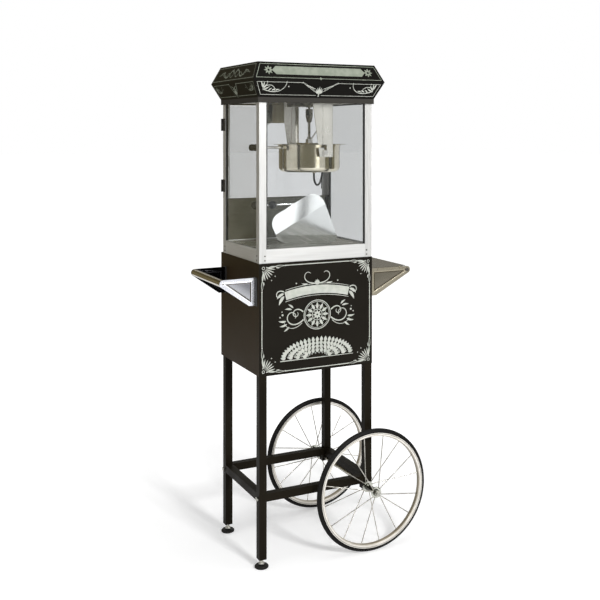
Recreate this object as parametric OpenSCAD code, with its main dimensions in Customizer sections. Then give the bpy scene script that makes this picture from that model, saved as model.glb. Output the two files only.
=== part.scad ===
// Popcorn maker: a lit popping case on a two-wheeled serving cart.
// Millimetres, Z up, X to the right along the front, Y to the rear.
// Origin at the middle of the footprint, on the floor.

/* [Cart] */
// width of the cabinet
cart_w = 404; // [400:1:408]
// depth over the front and rear legs
leg_depth = 338; // [334:1:342]
// side of the square leg and rail tube
tube = 25; // [24:1:26]
// wall of the tube
tube_wall = 1.5; // [1:0.5:2]
// thickness of the cabinet sheet
sheet = 1.2; // [1:0.1:1.4]
// underside of the cabinet
cab_bottom = 606; // [590:1:620]
// top of the cabinet, where the case stands
cab_top = 962; // [958:1:966]
// underside of the lower rails
rail_z = 209; // [207:1:215]
// depth of the recess that the rear door lies in
door_recess = 15; // [14:0.5:16]

/* [Wheels] */
// wheel diameter over the tyre
wheel_d = 400; // [396:1:404]
// wheel centre from the left face of the cabinet
wheel_x = 382; // [380:1:384]
// middle plane of a wheel from the face of the legs
wheel_gap = 40; // [38:1:44]
// height of the rubber tyre above the rim
tyre_h = 13; // [11:1:14]
// width of the tyre
tyre_w = 17; // [14:1:19]
// height of the rim channel
rim_h = 11; // [10.5:0.5:13]
// number of spokes in a wheel
spoke_n = 16; // [12:4:20]
// diameter of a spoke
spoke_d = 3; // [2.5:0.5:4]
// diameter of the hub flanges
flange_d = 36; // [32:1:38]
// distance between the hub flanges
flange_gap = 58; // [54:1:60]
// diameter of the axle
axle_d = 12; // [12:0.5:13]

/* [Levelling feet] */
// diameter of the foot pad
pad_d = 44; // [36:1:48]
// height of the foot pad
pad_h = 9; // [7:1:10]
// diameter of the foot stud
stud_d = 10; // [8:1:12]
// height of the left legs' ends above the floor
leg_end = 27; // [27:1:30]

/* [Handle and shelf] */
// how far the handle reaches out from the cabinet
handle_reach = 122; // [118:1:126]
// how far the shelf brackets reach out from the cabinet
shelf_reach = 157; // [150:1:160]
// top edge of the handle brackets
handle_top = 916; // [910:1:930]
// top of the shelf sheet
shelf_top_z = 921.5; // [915:0.5:930]
// height of the brackets along the cabinet
bracket_drop = 88; // [80:1:95]
// diameter of the push handle bar
bar_d = 23; // [20:1:23]
// diameter of the shelf's edge bar
edge_bar_d = 12; // [10:1:14]

/* [Case] */
// width of the case over its posts
case_w = 402; // [402:1:402]
// depth of the case over its posts
case_d = 334; // [334:1:334]
// side of the corner posts
post = 24; // [22:1:25]
// thickness of the post angle
post_t = 2.5; // [2:0.5:3]
// height of the bottom rails
case_rail_h = 44; // [42:1:45]
// thickness of the glass
glass_t = 4; // [4:0.5:5]
// top of the stainless deck
deck_z = 1003; // [1002:1:1004]
// top edge of the fixed rear panel
rear_panel_top = 1149; // [1140:1:1150]

/* [Hood] */
// height of the whole object
total_h = 1600; // [1598:1:1602]
// bottom edge of the hood's skirt
skirt_z = 1471.5; // [1471:0.5:1472]
// height where the hood is widest
hood_wide_z = 1543; // [1540:1:1546]
// how far the skirt stands out from the posts
skirt_out = 6; // [5:0.5:7]
// how far the widest edge stands out from the posts
hood_out = 32.5; // [30:0.5:34]
// thickness of the hood sheet
hood_t = 1.5; // [1.2:0.1:2]

/* [Kettle] */
// middle of the kettle from the left face of the cabinet
kettle_x = 251; // [251:1:251]
// height of the trunnions that the kettle tips on
pivot_z = 1311; // [1311:1:1311]
// outside diameter of the kettle shell
kettle_d = 208; // [204:1:210]
// diameter of the kettle rim
kettle_rim_d = 215; // [213:1:218]
// underside of the kettle
kettle_bottom = 1243; // [1240:1:1245]
// top of the kettle rim
kettle_top = 1335; // [1335:1:1335]
// diameter of the trunnion pins
trunnion_d = 10; // [9:0.5:11]
// diameter of the stirrer shaft
shaft_d = 9; // [8:0.5:9]
// diameter of the kettle cord
kettle_cord_d = 7; // [6:0.5:7.5]

/* [Scoop] */
// length of the scoop along a crease
scoop_len = 202; // [196:1:204]
// angle between the scoop's two creases
scoop_angle = 34; // [32:1:35]
// height of the scoop's side walls
scoop_wall = 58; // [56:1:59]
// thickness of the scoop sheet
scoop_t = 1.2; // [1:0.1:1.5]

/* [Hidden] */

// the left face of the cabinet and the front face of the legs, in the shared frame
x0 = -(wheel_x + wheel_d / 2 - handle_reach) / 2;
y0 = -leg_depth / 2;

// running fit of every pin and shaft, on the radius
fit = 0.06;

// cart frame
leg_in = sheet;
rear_y = leg_depth - sheet;
side_len = leg_depth + door_recess - sheet;
right_x = cart_w - sheet - tube;
axle_z = wheel_d / 2;
bolt_z = rail_z + 9;
bolt_y = [leg_in + tube / 2, rear_y - tube / 2];

// cabinet door
door_y1 = leg_depth + 1.2;
door_y2 = door_y1 + 12;
door_pivot = [cart_w - 10, door_y1 + 6];
door_z1 = cab_bottom + 5;
door_z2 = cab_top - 5.5;

// brackets
bracket_t = 2.5;
bracket_y = 26;
shelf_y = 16;
tip_r = 12;

// case
case_x = (cart_w - case_w) / 2;
case_y = (leg_depth - case_d) / 2;
case_x2 = case_x + case_w;
case_y2 = case_y + case_d;
mid_y = leg_depth / 2;
post_top = skirt_z + 4.3;
rail_t = 8;
rail_top = cab_top + case_rail_h;
door_sheet_y = case_y2 + 1.2;
hinge_axis = [case_x - 3.5, case_y2 + 2.8];
hinge_z = [1172, 1382];
hinge_h = 42;

// kettle
kettle_r = kettle_d / 2;
rim_r = kettle_rim_d / 2;
lid_axis_x = 17;
lid_axis_z = kettle_top + 3.3;
hanger_y = 45;
hanger_back = 10;
hanger_t = 2.5;
hanger_z = 1295;
shaft_top = 1411;

// the slope behind the hood that carries the switches
slope_y = case_y2 + (hood_out + skirt_out + 1) / 2;
slope_z = (hood_wide_z + total_h) / 2;
slope_a = atan((total_h - hood_wide_z) / (hood_out - skirt_out - 1));

// scoop
scoop_apex = [112.6, 131.8];
scoop_turn = -30;
scoop_lean = 21;
scoop_fold = 34;
scoop_wall_dz = scoop_wall * cos(scoop_fold + scoop_lean);

// colours
black = [0.07, 0.07, 0.07];
steel = [0.78, 0.78, 0.78];
alu = [0.86, 0.86, 0.87];
rubber = [0.04, 0.04, 0.04];
cream = [0.85, 0.82, 0.75];

$fn = 48;

// ---- shared shapes ----

// moves a part from the cabinet's own corner to the shared frame
module place() {
    translate([x0, y0, 0]) children();
}

// box from its lowest to its highest corner
module span(a, b) {
    translate(a) cube(b - a);
}

// the same part on the right-hand side, and on the rear side
module mirror_x() {
    translate([cart_w, 0, 0]) mirror([1, 0, 0]) children();
}

module mirror_y() {
    translate([0, leg_depth, 0]) mirror([0, 1, 0]) children();
}

// round bar along X or Y
module rod_x(d, x1, x2, y, z) {
    translate([x1, y, z]) rotate([0, 90, 0]) cylinder(d = d, h = x2 - x1);
}

module rod_y(d, x, y1, y2, z) {
    translate([x, y2, z]) rotate([90, 0, 0]) cylinder(d = d, h = y2 - y1);
}

// outline in X and Z, as thick as y1 to y2
module plate_xz(points, y1, y2) {
    translate([0, y2, 0]) rotate([90, 0, 0]) linear_extrude(y2 - y1) polygon(points);
}

// outline in Y and Z, as thick as x1 to x2
module plate_yz(points, x1, x2) {
    translate([x1, 0, 0]) rotate([90, 0, 90]) linear_extrude(x2 - x1) polygon(points);
}

// round bar between two points
module strut(p, q, d) {
    v = q - p;
    translate(p)
        rotate([0, acos(v[2] / norm(v)), atan2(v[1], v[0])])
        cylinder(d = d, h = norm(v));
}

// upright square tube
module leg_tube(x, y, z1, z2) {
    w = tube_wall;
    difference() {
        span([x, y, z1], [x + tube, y + tube, z2]);
        span([x + w, y + w, z1 - 1], [x + tube - w, y + tube - w, z2 + 1]);
    }
}

function arc(c, r, a1, a2, n) =
    [for (i = [0:n]) let (a = a1 + (a2 - a1) * i / n) c + r * [cos(a), sin(a)]];

function polar(r, a, y) = [r * cos(a), y, r * sin(a)];

// ---- cart frame ----

// the left legs reach down to the feet, the right legs end at the axle
module legs() {
    color(black) place() difference() {
        for (y = [leg_in, rear_y - tube]) {
            leg_tube(leg_in, y, leg_end, cab_top - sheet);
            leg_tube(right_x, y, rail_z, cab_top - sheet);
        }
        for (y = bolt_y) for (x = [leg_in, right_x])
            rod_x(8.4, x - 1, x + tube + 1, y, bolt_z);
    }
}

// horizontal tubes between the legs, and the two blocks that hold the axle
module rail_tube(a, b, along_x) {
    w = tube_wall;
    s = along_x ? [-1, w, w] : [w, -1, w];
    difference() {
        span(a, b);
        span(a + s, b - s);
    }
}

module axle_block(y) {
    difference() {
        span([wheel_x - 12, y, axle_z - 10], [cart_w - sheet, y + tube, rail_z]);
        rod_y(axle_d + 0.3, wheel_x, y - 1, y + tube + 1, axle_z);
    }
}

module lower_rails() {
    z2 = rail_z + tube;
    color(black) place() {
        for (y = [leg_in, rear_y - tube])
            rail_tube([leg_in + tube, y, rail_z], [right_x, y + tube, z2], true);
        for (x = [leg_in, right_x])
            rail_tube([x, leg_in + tube, rail_z], [x + tube, rear_y - tube, z2], false);
        for (y = [leg_in, rear_y - tube]) axle_block(y);
    }
}

module frame_bolt(y) {
    rod_x(15, leg_in - 5.5, leg_in, y, bolt_z, $fn = 6);
    rod_x(8, leg_in - 1, leg_in + 40, y, bolt_z);
}

// threaded nut in the end of a left leg, for the foot's stud
module leg_end_nut(y) {
    side = tube - 2 * tube_wall - 0.2;
    translate([leg_in + tube / 2, y, leg_end]) difference() {
        translate([0, 0, 6]) cube([side, side, 12], center = true);
        translate([0, 0, -1]) cylinder(d = stud_d + 2 * fit, h = 14);
    }
}

module cart_fasteners() {
    color(steel) place() for (y = bolt_y) {
        frame_bolt(y);
        mirror_x() frame_bolt(y);
        leg_end_nut(y);
    }
}

module foot(y) {
    translate([leg_in + tube / 2, y, 0]) {
        rotate_extrude() polygon([
            [0, 0], [pad_d / 2 - 2, 0], [pad_d / 2, 2], [pad_d / 2, pad_h - 3],
            [pad_d / 2 - 3, pad_h], [0, pad_h]
        ]);
        cylinder(d = stud_d, h = leg_end + 25);
        translate([0, 0, pad_h]) cylinder(d = 19.6, h = 7, $fn = 6);
    }
}

module foot_front() {
    color(black) place() foot(leg_in + tube / 2);
}

module foot_rear() {
    color(black) place() foot(rear_y - tube / 2);
}

// ---- axle and wheels ----

hub_in = wheel_gap - flange_gap / 2 - 4;
hub_out = wheel_gap + flange_gap / 2 + 5;
axle_end = hub_out + 12;

module axle_side() {
    rod_y(axle_d + 8, wheel_x, 1 - hub_in, leg_in, axle_z);
    rod_y(22, wheel_x, -hub_out - 9, -hub_out - 1, axle_z, $fn = 6);
}

module axle() {
    color(steel) place() {
        rod_y(axle_d, wheel_x, -axle_end, leg_depth + axle_end, axle_z);
        axle_side();
        mirror_y() axle_side();
    }
}

rim_r1 = wheel_d / 2 - tyre_h;
rim_r2 = rim_r1 - rim_h;
spoke_lead = 14;

// a ring round the axle, from an outline of radius and sideways distance
module wheel_ring(points) {
    translate([wheel_x, -wheel_gap, axle_z]) rotate([90, 0, 0])
        rotate_extrude($fn = 96) polygon(points);
}

module tyre() {
    h = tyre_w / 2;
    wheel_ring(concat(
        [[rim_r1 - 7, -h + 3], [rim_r1 + 0.2, -h + 3], [rim_r1 + 0.2, -h]],
        [[rim_r1 + 4, -h]],
        arc([rim_r1 + tyre_h - h * 0.8, 0], h * 0.8, -80, 80, 8),
        [[rim_r1 + 4, h], [rim_r1 + 0.2, h], [rim_r1 + 0.2, h - 3], [rim_r1 - 7, h - 3]]
    ));
}

module rim() {
    h = tyre_w / 2 + 1.5;
    wheel_ring([
        [rim_r1, -h], [rim_r1, -h + 2], [rim_r1 - 8, -h + 4], [rim_r1 - 8, h - 4],
        [rim_r1, h - 2], [rim_r1, h], [rim_r2 + 3, h], [rim_r2, h - 4], [rim_r2, -h + 4],
        [rim_r2 + 3, -h]
    ]);
}

// a spoke lies against a flange's outer face and runs a little askew to the rim
module spoke(k) {
    side = k % 2 == 0 ? 1 : -1;
    lead = floor(k / 2) % 2 == 0 ? spoke_lead : -spoke_lead;
    turn = 360 * (k + 0.4) / spoke_n;
    strut(
        polar(flange_d / 2 - 3.5, turn + lead, side * (flange_gap / 2 + 3.6)),
        polar(rim_r2 - 0.4, turn, side * 2),
        spoke_d
    );
}

module spokes() {
    translate([wheel_x, -wheel_gap, axle_z]) for (k = [0:spoke_n - 1]) spoke(k);
}

module hub() {
    f = flange_gap / 2;
    difference() {
        translate([wheel_x, -wheel_gap, axle_z]) {
            rod_y(20, 0, -f - 5, f + 4, 0);
            rod_y(flange_d, 0, -f - 1.8, -f + 1.8, 0);
            rod_y(flange_d, 0, f - 1.8, f + 1.8, 0);
        }
        rod_y(axle_d + 2 * fit, wheel_x, -hub_out - 1, 0, axle_z);
    }
}

module tyre_front() {
    color(rubber) place() tyre();
}

module rim_front() {
    color(cream) place() rim();
}

module spokes_front() {
    color(steel) place() spokes();
}

module hub_front() {
    color(steel) place() hub();
}

module tyre_rear() {
    color(rubber) place() mirror_y() tyre();
}

module rim_rear() {
    color(cream) place() mirror_y() rim();
}

module spokes_rear() {
    color(steel) place() mirror_y() spokes();
}

module hub_rear() {
    color(steel) place() mirror_y() hub();
}

// ---- cabinet ----

module cabinet_front() {
    color(black) place() span([0, 0, cab_bottom], [cart_w, sheet, cab_top]);
}

module cabinet_sides() {
    color(black) place() for (x = [0, cart_w - sheet])
        span([x, sheet, cab_bottom], [x + sheet, sheet + side_len, cab_top]);
}

// the rear door turns in one small plate welded below it and one above it
module pivot_plate(z) {
    difference() {
        span([cart_w - sheet - 20, door_y1, z], [cart_w - sheet, door_y2, z + 3]);
        translate([door_pivot[0], door_pivot[1], z - 1]) cylinder(d = 6 + 2 * fit, h = 5);
    }
}

module cabinet_bottom() {
    color(black) place() {
        difference() {
            span([sheet, sheet, cab_bottom],
                [cart_w - sheet, sheet + side_len, cab_bottom + sheet]);
            for (x = [leg_in, right_x]) for (y = [leg_in, rear_y - tube])
                span([x - 1, y - 1, cab_bottom - 1], [x + tube + 0.1, y + tube + 0.1, cab_bottom + 2]);
        }
        pivot_plate(cab_bottom + sheet);
    }
}

module cabinet_top() {
    color(black) place() {
        span([sheet, sheet, cab_top - sheet], [cart_w - sheet, sheet + side_len, cab_top]);
        pivot_plate(cab_top - sheet - 3);
    }
}

module cabinet_door() {
    color(black) place() {
        difference() {
            span([5, door_y1, door_z1], [cart_w - 5, door_y2, door_z2]);
            span([5 + sheet, door_y1 - 1, door_z1 + sheet],
                [cart_w - 5 - sheet, door_y2 - sheet, door_z2 - sheet]);
        }
        translate([door_pivot[0], door_pivot[1], cab_bottom + sheet + 0.3])
            cylinder(d = 6, h = door_z1 - cab_bottom - sheet);
        translate([door_pivot[0], door_pivot[1], door_z2 - 0.5])
            cylinder(d = 6, h = cab_top - sheet - 0.3 - door_z2 + 0.5);
        translate([30, door_y2, 800]) rotate([-90, 0, 0])
            rotate_extrude() polygon([
                [0, 0], [7, 0], [5.5, 8], [12, 13], [13, 17], [11, 20], [0, 21]
            ]);
    }
}

// ---- push handle and side shelf ----

// a pressed bracket's outline, out from the cabinet side and up from its foot
function bracket_points(reach, drop) = concat(
    [[2, drop], [2, 0], [24, 0]],
    arc([reach - tip_r, drop - tip_r - 1], tip_r, -52, 90, 8)
);

// the dished triangle inside it
function dish_points(reach, drop) = [
    [18, drop - 16], [18, 22], [20, 18], [23, 18.5],
    [reach - 30, drop - 19.5], [reach - 28, drop - 17], [reach - 31, drop - 15]
];

module bracket(reach, drop, hole_d) {
    difference() {
        plate_xz(bracket_points(reach, drop), 0, bracket_t);
        plate_xz(dish_points(reach, drop), -1, 1.3);
        rod_y(hole_d, reach - tip_r, -1, bracket_t + 1, drop - tip_r - 1);
    }
}

module handle_bracket() {
    translate([0, bracket_y, handle_top - bracket_drop])
        mirror([1, 0, 0]) bracket(handle_reach, bracket_drop, 5);
}

module handle_brackets() {
    color(steel) place() {
        handle_bracket();
        mirror_y() handle_bracket();
    }
}

module handle_bar() {
    color(steel) place() rod_y(
        bar_d, tip_r - handle_reach, bracket_y + bracket_t,
        leg_depth - bracket_y - bracket_t, handle_top - tip_r - 1
    );
}

module shelf_bracket() {
    translate([cart_w, shelf_y, shelf_top_z - 1.5 - bracket_drop - 4])
        bracket(shelf_reach, bracket_drop + 4, edge_bar_d + 0.1);
}

module shelf_rivet(x) {
    rod_y(7, cart_w + x, shelf_y - 1.6, shelf_y + 0.4, shelf_top_z - 6.5);
}

module shelf_brackets() {
    color(steel) place() {
        shelf_bracket();
        shelf_rivet(34);
        shelf_rivet(118);
        mirror_y() {
            shelf_bracket();
            shelf_rivet(34);
            shelf_rivet(118);
        }
    }
}

module shelf_lip() {
    y = shelf_y + bracket_t + 0.2;
    span([cart_w + 3, y, shelf_top_z - 12], [cart_w + 130, y + 1.5, shelf_top_z - 0.5]);
}

module shelf_top() {
    color(steel) place() {
        span([cart_w + 1, shelf_y + bracket_t + 0.2, shelf_top_z - 1.5],
            [cart_w + shelf_reach - 17, leg_depth - shelf_y - bracket_t - 0.2, shelf_top_z]);
        shelf_lip();
        mirror_y() shelf_lip();
    }
}

module shelf_edge_bar() {
    z = shelf_top_z - 1.5 - tip_r - 1;
    color(black) place() rod_y(
        edge_bar_d, cart_w + shelf_reach - tip_r, shelf_y - 3, leg_depth - shelf_y + 3, z
    );
}

// black strips between the brackets and the cabinet's sides
module bracket_strip(y, z) {
    span([-2, y - 12, z - 2], [0, y + 14, z + bracket_drop + 1]);
}

module bracket_strips() {
    color(black) place() {
        for (y = [bracket_y + 1, leg_depth - bracket_y - 3])
            bracket_strip(y, handle_top - bracket_drop);
        mirror_x() for (y = [shelf_y + 12, leg_depth - shelf_y - 14])
            bracket_strip(y, shelf_top_z - bracket_drop - 3);
    }
}

// ---- case ----

module post_angle() {
    x = case_x;
    y = case_y;
    span([x, y, cab_top], [x + post, y + post_t, post_top]);
    span([x, y, cab_top], [x + post_t, y + post, post_top]);
}

module case_posts() {
    color(alu) place() {
        post_angle();
        mirror_x() post_angle();
        mirror_y() post_angle();
        mirror_x() mirror_y() post_angle();
    }
}

// a rail with its lower half set back a little, and tongues behind the posts
module rail_along_x() {
    y = case_y;
    span([case_x + post, y, cab_top + 18], [case_x2 - post, y + rail_t, rail_top]);
    span([case_x + post, y + 1, cab_top], [case_x2 - post, y + rail_t, cab_top + 18]);
    span([case_x + 6, y + post_t, cab_top], [case_x2 - 6, y + rail_t, rail_top]);
}

module rail_along_y() {
    x = case_x;
    span([x, case_y + post, cab_top + 18], [x + rail_t, case_y2 - post, rail_top]);
    span([x + 1, case_y + post, cab_top], [x + rail_t, case_y2 - post, cab_top + 18]);
    span([x + post_t, case_y + rail_t + 0.5, cab_top],
        [x + rail_t, case_y2 - rail_t - 0.5, rail_top]);
}

module case_rails() {
    color(alu) place() {
        rail_along_x();
        difference() {
            mirror_y() rail_along_x();
            span([drawer_x1 - 1.5, case_y2 - 20, cab_top + 3],
                [drawer_x2 + 1.5, case_y2 + 1, deck_z - 3.5]);
        }
        rail_along_y();
        mirror_x() rail_along_y();
    }
}

module case_screw_pair() {
    for (z = [cab_top + 9, cab_top + 23]) {
        rod_y(5, case_x + 19, case_y - 1.6, case_y, z);
        rod_x(5, case_x - 1.6, case_x, case_y + 19, z);
    }
}

module case_screws() {
    color(steel) place() {
        case_screw_pair();
        mirror_x() case_screw_pair();
        mirror_y() case_screw_pair();
        mirror_x() mirror_y() case_screw_pair();
    }
}

module front_pane() {
    span([case_x + post + 1.5, case_y + 3, rail_top],
        [case_x2 - post - 1.5, case_y + 3 + glass_t, post_top - 0.3]);
}

module side_pane() {
    span([case_x + 3, case_y + post + 1.5, rail_top],
        [case_x + 3 + glass_t, case_y2 - post - 1.5, post_top - 0.3]);
}

module glass_panes() {
    color([0.8, 0.85, 0.85, 0.3]) place() {
        front_pane();
        side_pane();
        mirror_x() side_pane();
    }
}

module front_gasket() {
    span([case_x + post, case_y + 1.5, rail_top],
        [case_x + post + 4.5, case_y + 4.5 + glass_t, post_top - 0.3]);
}

module side_gasket() {
    span([case_x + 1.5, case_y + post, rail_top],
        [case_x + 4.5 + glass_t, case_y + post + 4.5, post_top - 0.3]);
}

module glass_gaskets() {
    color(rubber) place() difference() {
        union() {
            front_gasket();
            mirror_x() front_gasket();
            for (m = [0, 1]) {
                translate([m * cart_w, 0, 0]) mirror([m, 0, 0]) {
                    side_gasket();
                    mirror_y() side_gasket();
                }
            }
        }
        front_pane();
        side_pane();
        mirror_x() side_pane();
    }
}

// the deck's sifting holes let unpopped kernels fall into the drawer
drawer_x1 = 123;
drawer_x2 = 283;
drawer_y1 = 112;

module drawer_runner() {
    span([drawer_x1 - 4.5, drawer_y1 - 4, cab_top + 1.5], [drawer_x1 - 3, case_y2 - 10, deck_z - 1.5]);
    span([drawer_x1 - 4.5, drawer_y1 - 4, cab_top + 1.5], [drawer_x1 + 8, case_y2 - 10, cab_top + 3]);
}

module deck() {
    a = case_x + rail_t;
    b = case_y + rail_t;
    color(steel) place() {
        difference() {
            span([a, b, deck_z - 1.5], [cart_w - a, leg_depth - b, deck_z]);
            for (i = [0:5]) for (j = [0:3])
                translate([drawer_x1 + 17 + 25 * i, 200 + 26 * j, deck_z - 3])
                    cylinder(d = 9, h = 6);
        }
        drawer_runner();
        translate([drawer_x1 + drawer_x2, 0, 0]) mirror([1, 0, 0]) drawer_runner();
    }
}

module kernel_drawer() {
    z1 = cab_top + 4.5;
    z2 = deck_z - 5;
    color(steel) place() {
        difference() {
            span([drawer_x1, drawer_y1, z1], [drawer_x2, case_y2 + 0.5, z2]);
            span([drawer_x1 + 1.2, drawer_y1 + 1.2, z1 + 1.2],
                [drawer_x2 - 1.2, case_y2 - 1, z2 + 1]);
        }
        span([drawer_x1 - 5, case_y2 + 0.5, cab_top + 1.5],
            [drawer_x2 + 5, case_y2 + 2, deck_z - 1]);
        translate([(drawer_x1 + drawer_x2) / 2, case_y2 + 2, cab_top + 20]) rotate([-90, 0, 0])
            rotate_extrude() polygon([[0, 0], [5, 0], [4, 6], [8, 9], [8, 13], [0, 14]]);
    }
}

module rear_panel() {
    y = case_y2 - rail_t;
    color(steel) place() {
        span([case_x + post_t + 0.5, y - 1.5, rail_top],
            [case_x2 - post_t - 0.5, y, rear_panel_top]);
        span([case_x + post_t + 0.5, y - 6, rear_panel_top - 5],
            [case_x2 - post_t - 0.5, y, rear_panel_top]);
    }
}

// ---- rear doors ----

module rear_door() {
    difference() {
        span([case_x + 1, door_sheet_y, rear_panel_top + 1],
            [cart_w / 2 - 1, door_sheet_y + glass_t, skirt_z - 3.5]);
        rod_y(5, cart_w / 2 - 16, case_y2, door_sheet_y + 10, 1440);
    }
}

module rear_door_left() {
    color([0.8, 0.85, 0.85, 0.3]) place() rear_door();
}

module rear_door_right() {
    color([0.8, 0.85, 0.85, 0.3]) place() mirror_x() rear_door();
}

module hinge_barrel(z1, z2, bore) {
    translate([hinge_axis[0], hinge_axis[1], z1]) difference() {
        cylinder(d = 6.6, h = z2 - z1);
        translate([0, 0, -1]) cylinder(d = bore, h = z2 - z1 + 2);
    }
}

// the half that is screwed to the post, with the pin
module fixed_leaf(z) {
    span([case_x - 1.5, case_y2 - 20, z], [case_x, case_y2 - 2, z + hinge_h]);
    difference() {
        span([case_x - 1.5, case_y2 - 2.1, z], [case_x, case_y2 + 1, z + hinge_h / 2]);
        translate([hinge_axis[0], hinge_axis[1], z - 1]) cylinder(d = 5, h = hinge_h);
    }
    hinge_barrel(z, z + hinge_h / 2, 2.9);
    translate([hinge_axis[0], hinge_axis[1], z]) cylinder(d = 3, h = hinge_h);
}

// the half that is screwed to the door, with the door's knob
module door_leaf(z) {
    y = door_sheet_y + glass_t;
    span([case_x + 1, y, z], [case_x + 24, y + 1.5, z + hinge_h]);
    difference() {
        span([case_x - 3.5, y - 0.6, z + hinge_h / 2 + 0.3], [case_x + 1.1, y + 1.5, z + hinge_h]);
        translate([hinge_axis[0], hinge_axis[1], z]) cylinder(d = 5, h = hinge_h + 1);
    }
    hinge_barrel(z + hinge_h / 2 + 0.3, z + hinge_h, 3 + 2 * fit);
}

module door_fittings() {
    y = door_sheet_y + glass_t;
    for (z = hinge_z) door_leaf(z);
    translate([cart_w / 2 - 16, y, 1440]) rotate([-90, 0, 0])
        rotate_extrude() polygon(concat(
            [[0, -4], [2.4, -4], [2.4, 0], [6, 0], [4, 5]],
            arc([0, 15], 11, -65, 90, 10)
        ));
}

module rear_hinges() {
    color(black) place() for (z = hinge_z) {
        fixed_leaf(z);
        mirror_x() fixed_leaf(z);
    }
}

module left_door_fittings() {
    color(black) place() door_fittings();
}

module right_door_fittings() {
    color(black) place() mirror_x() door_fittings();
}

// ---- hood ----

// the hood's section across one direction, from a to b, set in by t all round
function hood_section(a, b, t, z1, z2) = [
    [a - skirt_out + t, z1], [a - skirt_out + t, skirt_z + 17],
    [a - hood_out + t, hood_wide_z], [a - skirt_out - 1 + t, z2],
    [b + skirt_out + 1 - t, z2], [b + hood_out - t, hood_wide_z],
    [b + skirt_out - t, skirt_z + 17], [b + skirt_out - t, z1]
];

module hood_form(t, z1, z2) {
    intersection() {
        plate_xz(hood_section(case_x, case_x2, t, z1, z2), case_y - 60, case_y2 + 60);
        plate_yz(hood_section(case_y, case_y2, t, z1, z2), case_x - 60, case_x2 + 60);
    }
}

module on_slope() {
    translate([cart_w / 2, slope_y, slope_z]) rotate([slope_a, 0, 180]) children();
}

module hood_shell() {
    color(black) place() difference() {
        hood_form(0, skirt_z, total_h);
        hood_form(hood_t * 1.13, skirt_z - 1, total_h - hood_t);
        on_slope() cube([104, 32, 12], center = true);
    }
}

module ceiling_plate() {
    i = skirt_out - hood_t * 1.13 - 0.2;
    color(steel) place() difference() {
        span([case_x - i, case_y - i, post_top + 0.2], [case_x2 + i, case_y2 + i, post_top + 1.7]);
        translate([kettle_x, mid_y, post_top - 1]) cylinder(d = 31, h = 5);
    }
}

// ---- kettle hangers, motor and lamp ----

// a sheet strip with a stepped, folded edge, that a trunnion turns in
module hanger(y, x2) {
    z2 = post_top + 0.2;
    r = trunnion_d / 2 + fit;
    difference() {
        intersection() {
            translate([0, y, hanger_z]) linear_extrude(z2 - hanger_z) polygon([
                [207, 0], [241, 0], [244, -3.5], [x2 - 6, -3.5], [x2, 2.5], [x2, 13],
                [x2 - hanger_t, 13], [x2 - hanger_t, 3.5], [x2 - 7, -1], [245, -1],
                [242, hanger_t], [207, hanger_t]
            ]);
            plate_xz([[207, z2], [x2, z2], [x2, hanger_z], [233, hanger_z]], y - 10, y + 20);
        }
        rod_y(2 * r, kettle_x, y - 8, y + 5, pivot_z);
        span([kettle_x - r, y - 8, pivot_z], [kettle_x + r, y + 5, pivot_z + 25]);
        span([200, y - 8, pivot_z + 15], [kettle_x, y + 5, pivot_z + 25]);
    }
    span([207, y, z2 - 2.5], [x2, y + 22, z2]);
}

module hangers() {
    color(steel) place() {
        hanger(hanger_y, 282);
        mirror_y() hanger(hanger_y - hanger_back, 267);
    }
}

module stir_motor() {
    z = post_top + 0.2;
    color(steel) place() difference() {
        union() {
            span([180, mid_y - 28, z - 12], [264, mid_y + 28, z - 0.1]);
            translate([kettle_x, mid_y, z - 14]) cylinder(d = 22, h = 14);
            translate([kettle_x, mid_y, z - 1]) cylinder(d = 30, h = 4);
            span([200, mid_y - 38, z + 1.6], [282, mid_y + 38, z + 32]);
            translate([kettle_x - 20, mid_y, z + 31]) cylinder(d = 62, h = 44);
        }
        translate([kettle_x, mid_y, z - 20]) cylinder(d = 8 + 2 * fit, h = 45);
    }
}

module motor_coupling() {
    z = post_top + 0.2;
    color(steel) place() translate([kettle_x, mid_y, 0]) {
        translate([0, 0, z - 20]) cylinder(d = 8, h = 42);
        span([-10, -2.5, z - 40], [10, 2.5, z - 19]);
    }
}

lamp_x = 122;
lamp_y = 250;

module lamp_bulb() {
    color([0.9, 0.9, 0.85, 0.4]) place() translate([lamp_x, lamp_y, 0])
        rotate_extrude() polygon(concat(
            [[0, 1400]], arc([0, 1424], 24, -88, 38, 12), [[13, 1452], [0, 1452]]
        ));
}

module lamp_holder() {
    z = post_top + 0.2;
    color([0.45, 0.43, 0.33]) place() {
        translate([lamp_x, lamp_y, 1452.2]) cylinder(d = 32, h = z - 1452.2);
        span([180, 224, 1409], [181.5, 276, z]);
        span([138, 224, 1409], [181.5, 225.5, z]);
        span([138, 274.5, 1409], [181.5, 276, z]);
    }
}

// ---- kettle ----

module round_kettle(points) {
    translate([kettle_x, mid_y, 0]) rotate_extrude($fn = 96) polygon(points);
}

function dish(r, z1, z2, c) = concat(
    [[0, z1]], arc([r - c, z1 + c], c, -90, 0, 5), [[r, z2]]
);

// the shell has a short collar below, where the heater's cord comes out
module kettle_shell() {
    z2 = kettle_top - 1.7;
    color(steel) place() difference() {
        union() {
            round_kettle(concat(dish(kettle_r, kettle_bottom, z2, 16), [[0, z2]]));
            translate([cord_route[0][0], cord_route[0][1], kettle_bottom - 6])
                cylinder(d = 14, h = 7);
        }
        round_kettle(concat(dish(kettle_r - 1.2, kettle_bottom + 1.2, z2 + 1, 15), [[0, z2 + 1]]));
        translate([cord_route[0][0], cord_route[0][1], kettle_bottom - 7])
            cylinder(d = kettle_cord_d + 1, h = 10);
    }
}

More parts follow.
